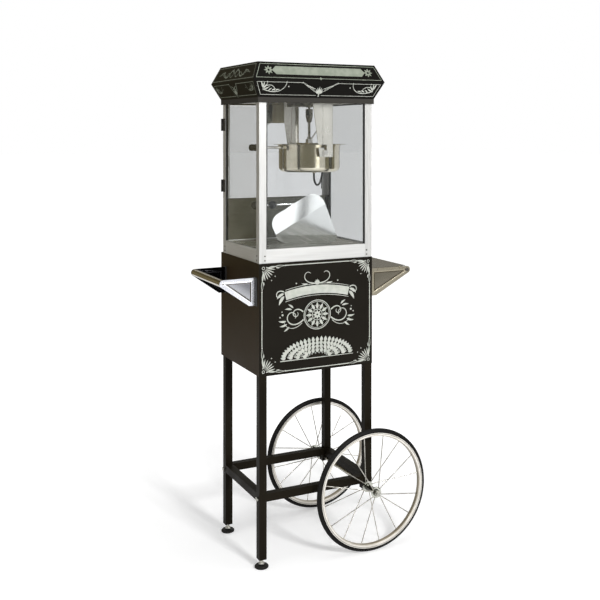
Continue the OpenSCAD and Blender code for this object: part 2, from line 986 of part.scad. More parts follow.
module kettle_bowl() {
    z = kettle_top;
    r = kettle_r - 7;
    color(steel) place() difference() {
        union() {
            round_kettle(concat(dish(r, kettle_bottom + 19, z, 14), [[0, z]]));
            round_kettle([
                [r - 1, z - 1.6], [rim_r - 1, z - 1.6], [rim_r - 1, z - 3.5], [rim_r, z - 3.5],
                [rim_r, z], [r - 1, z]
            ]);
        }
        round_kettle(concat(dish(r - 1.4, kettle_bottom + 23, z + 1, 12), [[0, z + 1]]));
    }
}

module lid_ear(side) {
    for (dy = [-65, 62])
        span([kettle_x + side * lid_axis_x - 4, mid_y + dy, kettle_top + 0.1],
            [kettle_x + side * lid_axis_x + 4, mid_y + dy + 3, kettle_top + 6.3]);
    rod_y(3, kettle_x + side * lid_axis_x, mid_y - 65, mid_y + 65, lid_axis_z);
}

module crossbar_ears() {
    for (side = [-1, 1]) {
        lid_ear(side);
        for (dy = [-65, 62])
            span([kettle_x + (side < 0 ? -20 : 11), mid_y + dy, kettle_top + 0.1],
                [kettle_x + (side < 0 ? -11 : 20), mid_y + dy + 3, kettle_top + 3]);
    }
}

module trunnion(y) {
    rod_y(trunnion_d, kettle_x, y - 8, mid_y - kettle_r - 0.2, pivot_z);
    rod_y(15, kettle_x, y - 8, y - 4.2, pivot_z);
    rod_y(18, kettle_x, y + 5, y + 9, pivot_z);
}

// the bar across the kettle carries the lids' pins and the stirrer's bearing
module kettle_crossbar() {
    z = kettle_top + 3;
    color(steel) place() {
        difference() {
            union() {
                span([kettle_x - 12, mid_y - 108, kettle_top + 0.1], [kettle_x + 12, mid_y + 108, z]);
                crossbar_ears();
                span([kettle_x - 9, mid_y - 9, z - 0.1], [kettle_x + 9, mid_y + 9, z + 16]);
                for (dx = [-5, 5])
                    rod_y(6, kettle_x + dx, mid_y - 11, mid_y, z + 12);
                plate_xz([
                    [kettle_x + 7.6, z + 15.5], [kettle_x + 8, z + 9], [kettle_x + 37, z + 49],
                    [kettle_x + 34, z + 51]
                ], mid_y + 2, mid_y + 7);
            }
            translate([kettle_x, mid_y, kettle_top - 1]) cylinder(d = shaft_d + 2 * fit, h = 30);
        }
        trunnion(hanger_y);
        mirror_y() trunnion(hanger_y - hanger_back);
    }
}

module kettle_handle() {
    color(steel) place() {
        rod_x(8, 52, kettle_x - kettle_r - 0.4, mid_y, kettle_top - 9);
        rod_x(10, kettle_x - kettle_r - 5, kettle_x - kettle_r - 0.9, mid_y, kettle_top - 9);
    }
}

module kettle_grip() {
    color(black) place() translate([33, mid_y, kettle_top - 9]) rotate([0, 90, 0])
        difference() {
            rotate_extrude() polygon([
                [0, 0], [7, 0], [10, 2], [11, 6], [11, 42], [9, 50], [7, 55], [0, 55]
            ]);
            translate([0, 0, 18.8]) cylinder(d = 8.1, h = 40);
        }
}

// half a disc of sheet that turns on the crossbar's pin, with a lifting tab
module lid(tab_turn, tab_r) {
    z = lid_axis_z - 2.7;
    difference() {
        union() {
            intersection() {
                translate([0, 0, z]) cylinder(d = 2 * rim_r - 5, h = 1.2, $fn = 96);
                span([lid_axis_x, -120, z - 1], [130, 120, z + 5]);
            }
            rotate([0, 0, tab_turn]) span([rim_r - 14, -10, z], [tab_r, 10, z + 1.2]);
            rod_y(5.4, lid_axis_x, -60, 60, lid_axis_z);
        }
        rod_y(3 + 2 * fit, lid_axis_x, -121, 121, lid_axis_z);
        for (dy = [-120, 60.5])
            span([lid_axis_x - 5, dy, z - 1], [lid_axis_x + 5.5, dy + 59.5, z + 9]);
    }
}

module lid_left() {
    color(steel) place() translate([kettle_x, mid_y, 0]) mirror([1, 0, 0]) lid(0, 126);
}

// the right lid is slotted, so it can rise past the lever on the crossbar
module lid_right() {
    color(steel) place() translate([kettle_x, mid_y, 0]) difference() {
        lid(-28, 125);
        span([lid_axis_x + 18, 0.5, lid_axis_z - 4], [lid_axis_x + 60, 8.5, lid_axis_z + 2]);
    }
}

// shaft with a fork above, that the motor's blade drives, and arms below
module stirrer() {
    z = kettle_bottom + 24.5;
    color(steel) place() translate([kettle_x, mid_y, 0]) {
        translate([0, 0, z]) cylinder(d = shaft_d, h = shaft_top + 8 - z);
        translate([0, 0, kettle_top + 19.4]) cylinder(d = 14, h = 6);
        rod_x(5, -86, 86, 0, z + 5);
        rod_x(4, -48, 48, 0, z + 30);
        for (side = [-1, 1]) strut([side * 84, 0, z + 5], [side * 84, 0, z + 24], 4);
        plate_yz([
            [-5, shaft_top], [5, shaft_top], [16, shaft_top + 20], [16, shaft_top + 45],
            [9, shaft_top + 45], [9, shaft_top + 22], [6, shaft_top + 17], [-6, shaft_top + 17],
            [-9, shaft_top + 22], [-9, shaft_top + 45], [-16, shaft_top + 45],
            [-16, shaft_top + 20]
        ], -6, 6);
    }
}

// the heater's cord: out of the kettle's underside, in a slack loop, and up to the ceiling
cord_route = [
    [272, 175, 1240.5], [272, 175, 1234], [272, 175.4, 1226], [273, 176.6, 1217.5],
    [275.7, 179, 1209.5], [280, 182.8, 1202.5], [285.8, 188, 1197.4], [292.6, 194.2, 1194.8],
    [299.8, 201, 1194.8], [306.8, 207.8, 1197.5], [313.4, 214.6, 1202.5], [319.6, 221.4, 1209.5],
    [325.4, 228, 1218.5], [330.8, 234.4, 1229], [335.8, 240.4, 1241], [340.4, 246, 1254.5],
    [344.6, 251, 1269.5], [348.2, 255.4, 1286], [351.2, 259, 1304], [353.4, 261.4, 1323.5],
    [354.8, 262.6, 1344], [355.2, 263, 1365.5], [355.2, 263, 1388], [355.2, 263, 1411],
    [355.2, 263, 1434], [355.2, 263, 1455], [355.2, 263, 1474]
];

function unit(v) = v / norm(v);

function route_way(i) = unit(
    cord_route[min(i + 1, len(cord_route) - 1)] - cord_route[max(i - 1, 0)]
);

function cord_side(i) = unit(cross(route_way(i), [0.6, -0.8, 0.01]));

function cord_ring(i) = [
    for (k = [0:9]) let (a = 36 * k, s = cord_side(i), u = cross(route_way(i), s))
        cord_route[i] + kettle_cord_d / 2 * (cos(a) * s + sin(a) * u)
];

module kettle_cord() {
    n = len(cord_route);
    points = [for (i = [0:n - 1]) for (p = cord_ring(i)) p];
    sides = [for (i = [0:n - 2]) for (k = [0:9])
        [10 * i + k, 10 * i + 10 + k, 10 * i + 10 + (k + 1) % 10, 10 * i + (k + 1) % 10]];
    ends = [[for (k = [0:9]) k], [for (k = [9:-1:0]) 10 * (n - 1) + k]];
    color(black) place() polyhedron(points, concat(sides, ends));
}

// the grommet above that cord, and the gland where the mains cord comes in
module cord_glands() {
    z = post_top + 0.2;
    end = cord_route[len(cord_route) - 1];
    color(black) place() {
        translate([end[0], end[1], z - 10]) difference() {
            cylinder(d = 18, h = 9.9);
            translate([0, 0, -1]) cylinder(d = kettle_cord_d + 1, h = 12);
        }
        translate([60, case_y2, cab_top + 24]) rotate([-90, 0, 0]) difference() {
            union() {
                cylinder(d = 26, h = 5, $fn = 6);
                cylinder(d = 17, h = 14);
            }
            translate([0, 0, 1]) cylinder(d = 9, h = 20);
        }
    }
}

// ---- switches ----

switch_pitch = 32;

module switch_plate() {
    color(steel) place() on_slope() difference() {
        translate([0, 0, 1]) cube([116, 44, 2], center = true);
        for (i = [-1:1]) translate([i * switch_pitch, 0, 0]) cube([16, 24, 10], center = true);
    }
}

module rocker(i) {
    on_slope() translate([-i * switch_pitch, 0, 0])
        plate_yz([[-10.4, -6], [10.4, -6], [10.6, 3], [0, 1.4], [-10.6, 5]], -7, 7);
}

module rocker_motor() {
    color(black) place() rocker(-1);
}

module rocker_kettle() {
    color([0.6, 0.1, 0.08]) place() rocker(0);
}

module rocker_lamp() {
    color(black) place() rocker(1);
}

// ---- scoop ----

// the sheet of one side wall, with rounded free corners, as high as y
module scoop_side() {
    a = 38;
    b = 44;
    linear_extrude(scoop_t) polygon(concat(
        [[0, 0]], arc([a, scoop_wall - a], a, 180, 90, 8),
        arc([scoop_len - b, scoop_wall - b], b, 90, 0, 8), [[scoop_len, 0]]
    ));
}

// moves a side wall to its crease and folds it back
module at_lower_crease() {
    translate([0, 0, scoop_t]) rotate([180 + scoop_fold, 0, 0]) children();
}

module at_upper_crease() {
    rotate([0, 0, scoop_angle]) mirror([0, 1, 0]) at_lower_crease() children();
}

module scoop_sheet() {
    linear_extrude(scoop_t) polygon([
        [0, 0], [scoop_len, 0],
        scoop_len * [cos(scoop_angle), sin(scoop_angle)]
    ]);
    at_lower_crease() scoop_side();
    at_upper_crease() {
        scoop_side();
        for (u = [97, 118]) translate([u, 51, -1.4]) cylinder(d = 6, h = 5);
    }
}

// a straight stem with two ball grips stands out from the top wall
scoop_stem_at = [168, 98.5, 1139.5];
scoop_stem_end = [36, 127, 1136.5];

module scoop_handle() {
    strut(scoop_stem_end, scoop_stem_at, 6);
    for (t = [0, 0.43])
        translate(scoop_stem_end + t * (scoop_stem_at - scoop_stem_end)) sphere(d = 27);
}

module scoop() {
    color(alu) place() {
        translate([scoop_apex[0], scoop_apex[1], deck_z + scoop_wall_dz + 0.8])
            rotate([0, 0, scoop_turn]) rotate([90 + scoop_lean, 0, 0]) scoop_sheet();
        scoop_handle();
    }
}

legs();
lower_rails();
cart_fasteners();
axle();
cabinet_front();
cabinet_sides();
cabinet_bottom();
cabinet_top();
cabinet_door();
bracket_strips();
handle_brackets();
handle_bar();
shelf_brackets();
shelf_top();
shelf_edge_bar();
tyre_front();
rim_front();
spokes_front();
hub_front();
tyre_rear();
rim_rear();
spokes_rear();
hub_rear();
foot_front();
foot_rear();
case_posts();
case_rails();
case_screws();
glass_panes();
glass_gaskets();
deck();
rear_panel();
rear_door_left();
rear_door_right();
rear_hinges();
left_door_fittings();
right_door_fittings();
hood_shell();
ceiling_plate();
hangers();
stir_motor();
motor_coupling();
lamp_bulb();
lamp_holder();
kettle_shell();
kettle_bowl();
kettle_crossbar();
kettle_handle();
kettle_grip();
lid_left();
lid_right();
stirrer();
kettle_cord();
cord_glands();
switch_plate();
rocker_motor();
rocker_kettle();
rocker_lamp();
kernel_drawer();
scoop();
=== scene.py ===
from math import cos, hypot, pi, radians, sin

import bpy
import numpy as np
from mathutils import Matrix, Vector


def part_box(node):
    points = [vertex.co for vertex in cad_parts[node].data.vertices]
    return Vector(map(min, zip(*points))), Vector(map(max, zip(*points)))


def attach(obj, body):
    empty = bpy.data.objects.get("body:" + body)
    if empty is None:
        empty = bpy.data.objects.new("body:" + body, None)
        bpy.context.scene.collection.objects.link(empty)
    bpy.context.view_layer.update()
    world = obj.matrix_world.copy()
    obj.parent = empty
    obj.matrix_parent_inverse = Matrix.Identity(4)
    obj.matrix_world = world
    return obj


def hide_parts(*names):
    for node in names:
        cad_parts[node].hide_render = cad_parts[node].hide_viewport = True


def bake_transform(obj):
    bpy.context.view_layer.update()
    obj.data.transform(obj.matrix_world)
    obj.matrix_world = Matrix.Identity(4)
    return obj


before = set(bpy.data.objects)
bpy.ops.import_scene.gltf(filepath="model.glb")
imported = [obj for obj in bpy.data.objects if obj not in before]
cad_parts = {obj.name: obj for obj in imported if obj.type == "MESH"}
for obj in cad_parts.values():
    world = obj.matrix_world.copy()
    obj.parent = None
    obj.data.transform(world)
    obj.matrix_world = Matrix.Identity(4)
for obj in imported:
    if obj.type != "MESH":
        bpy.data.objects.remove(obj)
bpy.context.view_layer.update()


# ---- camera ----
# It stands in front of the machine and to its left, 1.37 m above the floor. It is level, and its shift
# frames the whole machine, so that the upright lines of the case and the legs stay upright.

camera = bpy.data.objects.new("camera", bpy.data.cameras.new("camera"))
bpy.context.scene.collection.objects.link(camera)
camera.location = (-1.3541, -2.9856, 1.3740)
camera.rotation_euler = (radians(90), 0, radians(-27.75))
camera.data.lens = 57.51
camera.data.sensor_width = 36
camera.data.shift_x = -0.0996
camera.data.shift_y = -0.278
camera.data.clip_end = 200
bpy.context.scene.camera = camera
bpy.context.scene.view_settings.view_transform = "Standard"


# ---- studio ----
# A white floor that keeps the machine's shadow, a white surround, one lamp high up in front and a
# weaker, wider one above. Six cards that the camera doesn't see give polished metal something to mirror:
# a bright one in front, a bright one to the left, and dull ones all around.


class Value:
    """One output in a material's nodes. Sums on values add Math nodes, and node() adds any other node."""

    def __init__(self, tree, socket=None):
        self.tree, self.socket = tree, socket

    def node(self, kind, settings=None, out=0, **sockets):
        """Adds a node of that type. Its settings are set before its sockets, which go by name or, as i0
        and i1, by number."""
        made = self.tree.nodes.new("ShaderNode" + kind)
        for key, value in (settings or {}).items():
            setattr(made, key, value)
        for key, value in sockets.items():
            numbered = key[0] == "i" and key[1:].isdigit()
            socket = made.inputs[int(key[1:]) if numbered else key.replace("_", " ")]
            if isinstance(value, Value):
                self.tree.links.new(value.socket, socket)
            else:
                socket.default_value = value
        return Value(self.tree, made.outputs[out] if len(made.outputs) else None)

    def math(self, operation, a, b=0.0):
        return self.node("Math", {"operation": operation}, i0=a, i1=b)

    def __add__(self, other):
        return self.math("ADD", self, other)

    def __sub__(self, other):
        return self.math("SUBTRACT", self, other)

    def __rsub__(self, other):
        return self.math("SUBTRACT", other, self)

    def __mul__(self, other):
        return self.math("MULTIPLY", self, other)

    def __pow__(self, other):
        return self.math("POWER", self, other)

    __radd__, __rmul__ = __add__, __mul__

    def rise(self, low, high):
        """0 up to low, 1 from high on, and a smooth rise between."""
        smooth = {"interpolation_type": "SMOOTHSTEP"}
        return self.node("MapRange", smooth, Value=self, From_Min=low, From_Max=high)

    def near(self, middle, full, none):
        """1 up to full away from the middle, 0 from none away on, and a smooth fall between."""
        return 1.0 - self.math("ABSOLUTE", self - middle).rise(full, none)

    def mix(self, by, a, b):
        """The colour a where the value by is 0, the colour b where it is 1, and a blend between."""
        a, b = (c if isinstance(c, Value) else (*c, 1) for c in (a, b))
        return self.node("Mix", {"data_type": "RGBA"}, out=2, i0=by, i6=a, i7=b)

    def tint(self, other, by):
        """This colour, changed to the other as the value by goes from 0 to 1."""
        return self.mix(by, self, other)

    def place(self):
        """Where a point lies in the frame, in metres."""
        return self.node("TexCoord", out=3)

    def axis(self, number):
        """One of a place's three coordinates."""
        return self.node("SeparateXYZ", out=number, Vector=self)

    def noise(self, scale, detail=2.0, place=None, stretch=None):
        """A cloudy noise over a place, whose axes may be scaled on their own first."""
        if stretch:
            place = self.node("Mapping", Vector=place, Scale=stretch)
        where = {"Vector": place} if place else {}
        return self.node("TexNoise", Scale=scale, Detail=detail, **where)


def start(name):
    """An empty material, and its node tree wrapped for node()."""
    made = bpy.data.materials.new(name)
    made.use_nodes = True
    made.node_tree.nodes.clear()
    return made, Value(made.node_tree)


def end(made, shader):
    shader.node("OutputMaterial", Surface=shader)
    return made


def seen(v):
    """1 for rays from the camera, a mirror or a pane of glass, and 0 for the light that falls on things."""
    path = v.tree.nodes.new("ShaderNodeLightPath").outputs
    rays = [Value(v.tree, path[name]) for name in ("Is Camera Ray", "Is Glossy Ray", "Is Transmission Ray")]
    return v.math("MINIMUM", rays[0] + rays[1] + rays[2], 1.0)


def plain_mesh(name, points, faces, smooth=False):
    """A piece from points and a list of faces. Where it is smooth, only its four-cornered faces are."""
    mesh = bpy.data.meshes.new(name)
    mesh.from_pydata(np.asarray(points, float).reshape(-1, 3).tolist(), [], faces)
    mesh.polygons.foreach_set("use_smooth", [smooth and len(face) == 4 for face in faces])
    mesh.update()
    piece = bpy.data.objects.new(name, mesh)
    bpy.context.scene.collection.objects.link(piece)
    return piece


floor_finish, v = start("studio_floor")
lit = v.node("BsdfDiffuse", Color=v.mix(v.noise(3.0), (0.87, 0.87, 0.87), (0.89, 0.89, 0.89)))
far = v.node("VectorMath", {"operation": "LENGTH"}, out=1, Vector=v.place()).rise(0.3, 1.7)
glow = v.node("Emission", Color=(1, 1, 1, 1), Strength=seen(v) * (far * 0.33 + 0.26))
floor = plain_mesh("floor", [[-40, -40, 0], [40, -40, 0], [40, 60, 0], [-40, 60, 0]], [[0, 1, 2, 3]])
floor.data.materials.append(end(floor_finish, v.node("AddShader", i0=lit, i1=glow)))

world = bpy.data.worlds.new("surround")
bpy.context.scene.world = world
world.use_nodes = True
world.node_tree.nodes.clear()
v = Value(world.node_tree)
white = v.node("Background", Color=(1, 1, 1, 1), Strength=seen(v) * 0.48 + 0.52)
v.node("OutputWorld", Surface=white)


def lamp(name, place, aim, size, power):
    """A flat lamp at a place that faces its aim. Size is across and up in metres, power in watts."""
    made = bpy.data.objects.new(name, bpy.data.lights.new(name, "AREA"))
    made.data.shape = "RECTANGLE"
    made.data.size, made.data.size_y, made.data.energy = *size, power
    made.location = place
    made.rotation_euler = (Vector(aim) - Vector(place)).to_track_quat("-Z", "Y").to_euler()
    bpy.context.scene.collection.objects.link(made)


lamp("front_lamp", place=(0.42, -4.6, 2.9), aim=(0, 0, 1.0), size=(0.85, 0.95), power=190)
lamp("top_lamp", place=(0.3, -0.6, 4.6), aim=(0, 0, 1.0), size=(2.6, 2.6), power=28)


def card(name, azimuth, distance, width, height, colour, foot=0.0):
    """An upright card that faces the machine and that the camera doesn't see. Its azimuth is in degrees
    from straight ahead, to the right, and its lower edge is at the height foot."""
    a = radians(azimuth)
    out, side, up = np.array([sin(a), -cos(a), 0]), np.array([cos(a), sin(a), 0]), np.array([0, 0, height])
    low = out * distance + [0, 0, foot]
    left, right = low - side * width / 2, low + side * width / 2
    made = plain_mesh(name, [left, right, right + up, left + up], [[0, 1, 2, 3]])
    finish, v = start(name)
    patchy = v.mix(v.noise(0.8, 1.0), [c * 0.85 for c in colour], [c * 1.15 for c in colour])
    made.data.materials.append(end(finish, v.node("Emission", Strength=1.0, Color=patchy)))
    made.visible_camera = made.visible_shadow = made.visible_diffuse = False


card("olive_card", -150, 3.0, 3.6, 3.2, (0.22, 0.185, 0.100))
card("dark_card", -36.5, 4.6, 6.2, 3.0, (0.28, 0.265, 0.190))
card("bright_card_left", -72, 3.0, 2.6, 1.5, (3.2, 3.2, 3.2), foot=1.45)
card("bright_card_front", 7.5, 4.2, 0.86, 1.7, (3.3, 3.3, 3.2), foot=0.9)
card("olive_card_right", 61, 3.6, 3.2, 3.0, (0.25, 0.225, 0.125))
card("grey_card_behind", 153, 3.0, 2.6, 1.5, (0.36, 0.34, 0.29), foot=0.8)


# ---- kettle cord ----
# The black heat-proof cord that feeds the kettle's element: out of the gland below the kettle, round
# in one slack loop, and up to the grommet in the ceiling, so the kettle can tip on it.

# the machine is drawn from the cabinet's left front corner; the frame's origin is this far in from there
origin = np.array([0.230, 0.169, 0])

cord_route = np.array([
    [272, 175, 1240.5], [272, 175, 1234], [272, 175.4, 1226], [273, 176.6, 1217.5],
    [275.7, 179, 1209.5], [280, 182.8, 1202.5], [285.8, 188, 1197.4], [292.6, 194.2, 1194.8],
    [299.8, 201, 1194.8], [306.8, 207.8, 1197.5], [313.4, 214.6, 1202.5], [319.6, 221.4, 1209.5],
    [325.4, 228, 1218.5], [330.8, 234.4, 1229], [335.8, 240.4, 1241], [340.4, 246, 1254.5],
    [344.6, 251, 1269.5], [348.2, 255.4, 1286], [351.2, 259, 1304], [353.4, 261.4, 1323.5],
    [354.8, 262.6, 1344], [355.2, 263, 1365.5], [355.2, 263, 1388], [355.2, 263, 1411],
    [355.2, 263, 1434], [355.2, 263, 1455], [355.2, 263, 1474]]) / 1000 - origin


def through(points, per_span):
    """A smooth line through the points: between two of them, the cubic whose slope at each end is half
    the step from the point before it to the point after it."""
    p = np.vstack([2 * points[0] - points[1], points, 2 * points[-1] - points[-2]])
    t = (np.arange(per_span) / per_span)[None, :, None]
    a, b, c, d = (p[i:len(p) - 3 + i][:, None] for i in range(4))
    line = 0.5 * (2 * b + (c - a) * t + (2 * a - 5 * b + 4 * c - d) * t**2 + (3 * b - a - 3 * c + d) * t**3)
    return np.vstack([line.reshape(-1, 3), points[-1:]])


def tube(name, line, radius, around=16):
    """A round skin about a line: line + radius * (cos a * side + sin a * rise), where side is the level
    direction across the whole route, made square to the line, and rise is square to both. Its UV is
    the length along the line in metres, and once around from 0 to 1."""
    slope = np.gradient(line, axis=0)
    slope /= np.linalg.norm(slope, axis=1)[:, None]
    route = line[-1] - line[0]
    side = np.cross(np.cross(slope, np.array([-route[1], route[0], 0.0])), slope)
    side /= np.linalg.norm(side, axis=1)[:, None]
    rise = np.cross(slope, side)
    a = (np.arange(around) * 2 * pi / around)[None, :, None]
    skin = line[:, None] + radius * (np.cos(a) * side[:, None] + np.sin(a) * rise[:, None])
    i, j = np.meshgrid(np.arange(len(line) - 1), np.arange(around), indexing="ij")
    k = (j + 1) % around
    walls = np.stack([i * around + j, i * around + k, (i + 1) * around + k, (i + 1) * around + j], -1)
    last = (len(line) - 1) * around
    caps = [list(range(around))[::-1], list(range(last, last + around))]
    piece = plain_mesh(name, skin, walls.reshape(-1, 4).tolist() + caps, smooth=True)
    run = np.concatenate([[0], np.cumsum(np.linalg.norm(np.diff(line, axis=0), axis=1))])
    corner = np.zeros(len(piece.data.loops), int)
    piece.data.loops.foreach_get("vertex_index", corner)
    uv = np.stack([run[corner // around], (corner % around) / around], -1)
    piece.data.uv_layers.new(name="along").data.foreach_set("uv", uv.astype(np.float32).ravel())
    return piece


cord_thick = 0.007
cord_line = through(cord_route, 6)
kettle_lead = tube("kettle_lead", cord_line, cord_thick / 2)
lead_finish, v = start("lead_rubber")
ribs = v.noise(1.0, 2.0, v.node("TexCoord", out=2), stretch=(900, 8, 1))
kettle_lead.data.materials.append(end(lead_finish, v.node(
    "BsdfPrincipled", Base_Color=v.mix(ribs, (0.010, 0.010, 0.009), (0.030, 0.028, 0.025)),
    Roughness=ribs * 0.2 + 0.42, Normal=v.node("Bump", Strength=0.5, Distance=0.0003, Height=ribs))))
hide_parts("kettle_cord")
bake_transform(kettle_lead)


# ---- legs and lower rails ----
# Square steel tube, 25 mm, in satin black paint with the slight orange peel of a sprayed coat. The
# rails are bolted through the legs, and two blocks under them hold the axle.


def coat_of(name, dark, pale, rough=(0.35, 0.5), metal=0.0, scale=9.0, stretch=None, peel=0.00004,
            peel_scale=700.0, specular=0.5):
    """A surface whose colour and roughness drift between two values with a slow noise, stretched along
    the direction in which it was drawn or brushed, with a fine bump of its own, whose depth is peel. On
    the handle bar the streaks are painted reflection."""
    made, v = start(name)
    place = v.place()
    drift = v.noise(scale, 5.0, place, stretch).rise(0.32, 0.68)
    fine = v.noise(peel_scale, 3.0, place, stretch)
    return end(made, v.node(
        "BsdfPrincipled", Base_Color=v.mix(drift * 0.75 + fine * 0.25, dark, pale), Metallic=metal,
        Roughness=drift * (rough[1] - rough[0]) + rough[0], Specular_IOR_Level=specular,
        Normal=v.node("Bump", Strength=0.6, Distance=peel, Height=fine)))


def dress(finish, *nodes):
    """Gives solids from the source their finish; their shapes stay as they are."""
    for name in nodes:
        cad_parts[name].data.materials.clear()
        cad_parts[name].data.materials.append(finish)


dress(coat_of("frame_black", (0.0085, 0.0066, 0.0040), (0.0130, 0.0105, 0.0068), rough=(0.36, 0.50),
              specular=0.035), "legs", "lower_rails")


# ---- bolts and axle ----
# Hex bolts through the legs and rails, nuts in the left legs' ends for the feet, and the axle with its
# end nuts. All are zinc-plated steel, with the faint yellow and grey mottling of plating.

dress(coat_of("zinc_plate", (0.25, 0.25, 0.22), (0.48, 0.47, 0.43), rough=(0.16, 0.34), metal=1.0,
              scale=80.0, peel=0.00002), "cart_fasteners", "axle")


# ---- wheels ----
# Two 400 mm wheels: a solid rubber tyre on an enamelled steel rim, with sixteen plated spokes and a
# plated hub. Both turn on one axle, so one pattern about the axle's line serves both.

axle_low, axle_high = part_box("axle")
axle_middle = (axle_low + axle_high) / 2
tyre_radius, crown = 0.200, 0.0035  # the crown is the outermost part of the tread, which wears
ridge_turn = 2100.0  # radians per metre: a moulded ridge each 3 mm
rim_edge, well_top, bead = 0.1762, 0.1800, 0.1842  # radii of the rim's inner edge, its well and its groove
cup_radius = 0.0092  # the dark ring between the hub and its bearing


def about_axle(v):
    """A place on a wheel, and its distance from the axle's line."""
    place = v.place()
    x, z = place.axis(0) - axle_middle.x, place.axis(2) - axle_middle.z
    return place, (x * x + z * z) ** 0.5


tyre_rubber, v = start("tyre_rubber")
place, reach = about_axle(v)
dust = v.noise(30.0, 4.0, place)
ridges = v.math("SINE", reach * ridge_turn) * 0.5 + 0.5
worn = reach.rise(tyre_radius - crown, tyre_radius)
dress(end(tyre_rubber, v.node(
    "BsdfPrincipled", Specular_IOR_Level=0.08, Roughness=dust * 0.18 + 0.42 + worn * 0.12,
    Base_Color=v.mix(dust * 0.6 + worn * 0.3, (0.004, 0.004, 0.004), (0.014, 0.013, 0.012)),
    Normal=v.node("Bump", Strength=0.35, Distance=0.0003, Height=ridges * 0.6 + dust * 0.4))),
    "tyre_front", "tyre_rear")

rim_enamel, v = start("rim_enamel")
place, reach = about_axle(v)
cloud = v.noise(18.0, 4.0, place)
# the enamel is darker towards the rim's inner edge
darker_to_inner_edge = 1.0 - reach.rise(rim_edge + 0.0006, well_top)
# painted shade: a dark line in the rim's groove
painted_groove_shade = reach.near(bead, 0.0005, 0.0013)
# painted reflection: the rim's inner face, inside rim_edge, is coloured dark olive
painted_inner_reflection = 1.0 - reach.rise(rim_edge, rim_edge + 0.0010)
enamel = v.mix(cloud.rise(0.3, 0.7) * 0.5 + darker_to_inner_edge * 0.5, (0.76, 0.73, 0.68), (0.52, 0.48, 0.41))
dress(end(rim_enamel, v.node(
    "BsdfPrincipled", Roughness=cloud * 0.14 + 0.24, Metallic=0.35,
    Base_Color=enamel.tint((0.16, 0.16, 0.14), painted_groove_shade).tint((0.25, 0.21, 0.14), painted_inner_reflection * 0.85),
    Normal=v.node("Bump", Strength=0.2, Distance=0.0001, Height=v.noise(500.0, place=place)))),
    "rim_front", "rim_rear")

hub_zinc, v = start("hub_zinc")
place, reach = about_axle(v)
cloud = v.noise(90.0, 4.0, place)
cup = reach.near(cup_radius, 0.0010, 0.0022)
dress(end(hub_zinc, v.node(
    "BsdfPrincipled", Metallic=1.0, Roughness=cloud * 0.16 + 0.16,
    Base_Color=v.mix(cloud, (0.40, 0.41, 0.37), (0.62, 0.63, 0.58)).tint((0.07, 0.07, 0.06), cup),
    Normal=v.node("Bump", Strength=0.3, Distance=0.0004, Height=1.0 - cup))), "hub_front", "hub_rear")

dress(coat_of("spoke_plate", (0.26, 0.25, 0.22), (0.60, 0.58, 0.54), rough=(0.2, 0.34), metal=1.0,
              scale=40.0, peel=0.00001), "spokes_front", "spokes_rear")


# ---- levelling feet ----
# Each is a moulded black pad with a fine grain, on a plated stud that screws up into the nut in the end
# of a left leg.

pad_top = 0.012
thread_turn = 4188.0  # radians per metre: a turn each 1.5 mm

foot_finish, v = start("foot_moulding")
place = v.place()
height = place.axis(2)
stud = height.rise(pad_top - 0.0005, pad_top + 0.0005)
grain = v.noise(420.0, 3.0, place)
thread = v.math("SINE", height * thread_turn) * 0.5 + 0.5
pad = v.mix(grain, (0.004, 0.004, 0.0035), (0.012, 0.011, 0.009))
relief = stud * thread + (1.0 - stud) * grain * 0.12
dress(end(foot_finish, v.node(
    "BsdfPrincipled", Specular_IOR_Level=0.15, Metallic=stud, Roughness=0.5 - stud * 0.22 + grain * 0.08,
    Base_Color=pad.tint((0.55, 0.54, 0.50), stud),
    Normal=v.node("Bump", Strength=0.5, Distance=0.0006, Height=relief))),
    "foot_front", "foot_rear")


# ---- cabinet ----
# Folded steel sheet, 1.2 mm, sprayed black like the legs but smoother, with a hung door behind. Black
# strips lie between its sides and the brackets of the handle and the shelf.

# painted reflection: the sides are the front's black paint, coloured lighter and browner for the brown
# surroundings they take on
dress(coat_of("side_black_painted_brown", (0.025, 0.0160, 0.0072), (0.032, 0.0215, 0.0105), rough=(0.40, 0.50),
              scale=5.0, peel=0.00003, specular=0.05), "cabinet_sides")
dress(coat_of("cabinet_black", (0.0070, 0.0058, 0.0038), (0.0098, 0.0083, 0.0058), rough=(0.40, 0.50),
              scale=5.0, peel=0.00003, specular=0.055),
      "cabinet_front", "cabinet_bottom", "cabinet_top", "cabinet_door")
strip_black = coat_of("strip_black", (0.008, 0.008, 0.008), (0.02, 0.019, 0.018), rough=(0.45, 0.6),
                      peel=0.00006)
dress(strip_black, "bracket_strips")


# ---- printed ornament ----
# Pale ink screened onto the paint: plain borders with leaf corners, and on the cabinet a rosette
# between scrolls under a blank ribbon. Each stroke is a thin closed film that stands just off the sheet.


def straight(a, b, half):
    return np.array([a, b], float), np.array([half, half])


def curl(at, heading, bend_a, bend_b, length, half_a, half_b=None, steps=26):
    """A line from a point, whose turn per millimetre goes evenly from bend_a to bend_b: its heading is
    heading + bend_a*s + (bend_b - bend_a)*s*s/(2*length), and the line adds up its cosine and sine."""
    s = np.linspace(0, length, steps)
    angle = heading + bend_a * s + (bend_b - bend_a) * s * s / (2 * length)
    mid = (angle[1:] + angle[:-1]) / 2
    step = np.stack([np.cos(mid), np.sin(mid)], -1) * length / (steps - 1)
    line = np.vstack([[0.0, 0.0], np.cumsum(step, axis=0)]) + at
    return line, np.linspace(half_a, half_a if half_b is None else half_b, steps)


def petal(at, heading, length, half, bend=0.0, steps=16):
    """A leaf: a bent line whose half width is half * sin(pi * t**0.75), fullest before its middle."""
    line, _ = curl(at, heading, bend / length, bend / length, length, half, steps=steps)
    t = np.linspace(0.001, 0.999, steps)
    return line, half * np.sin(pi * t**0.75)


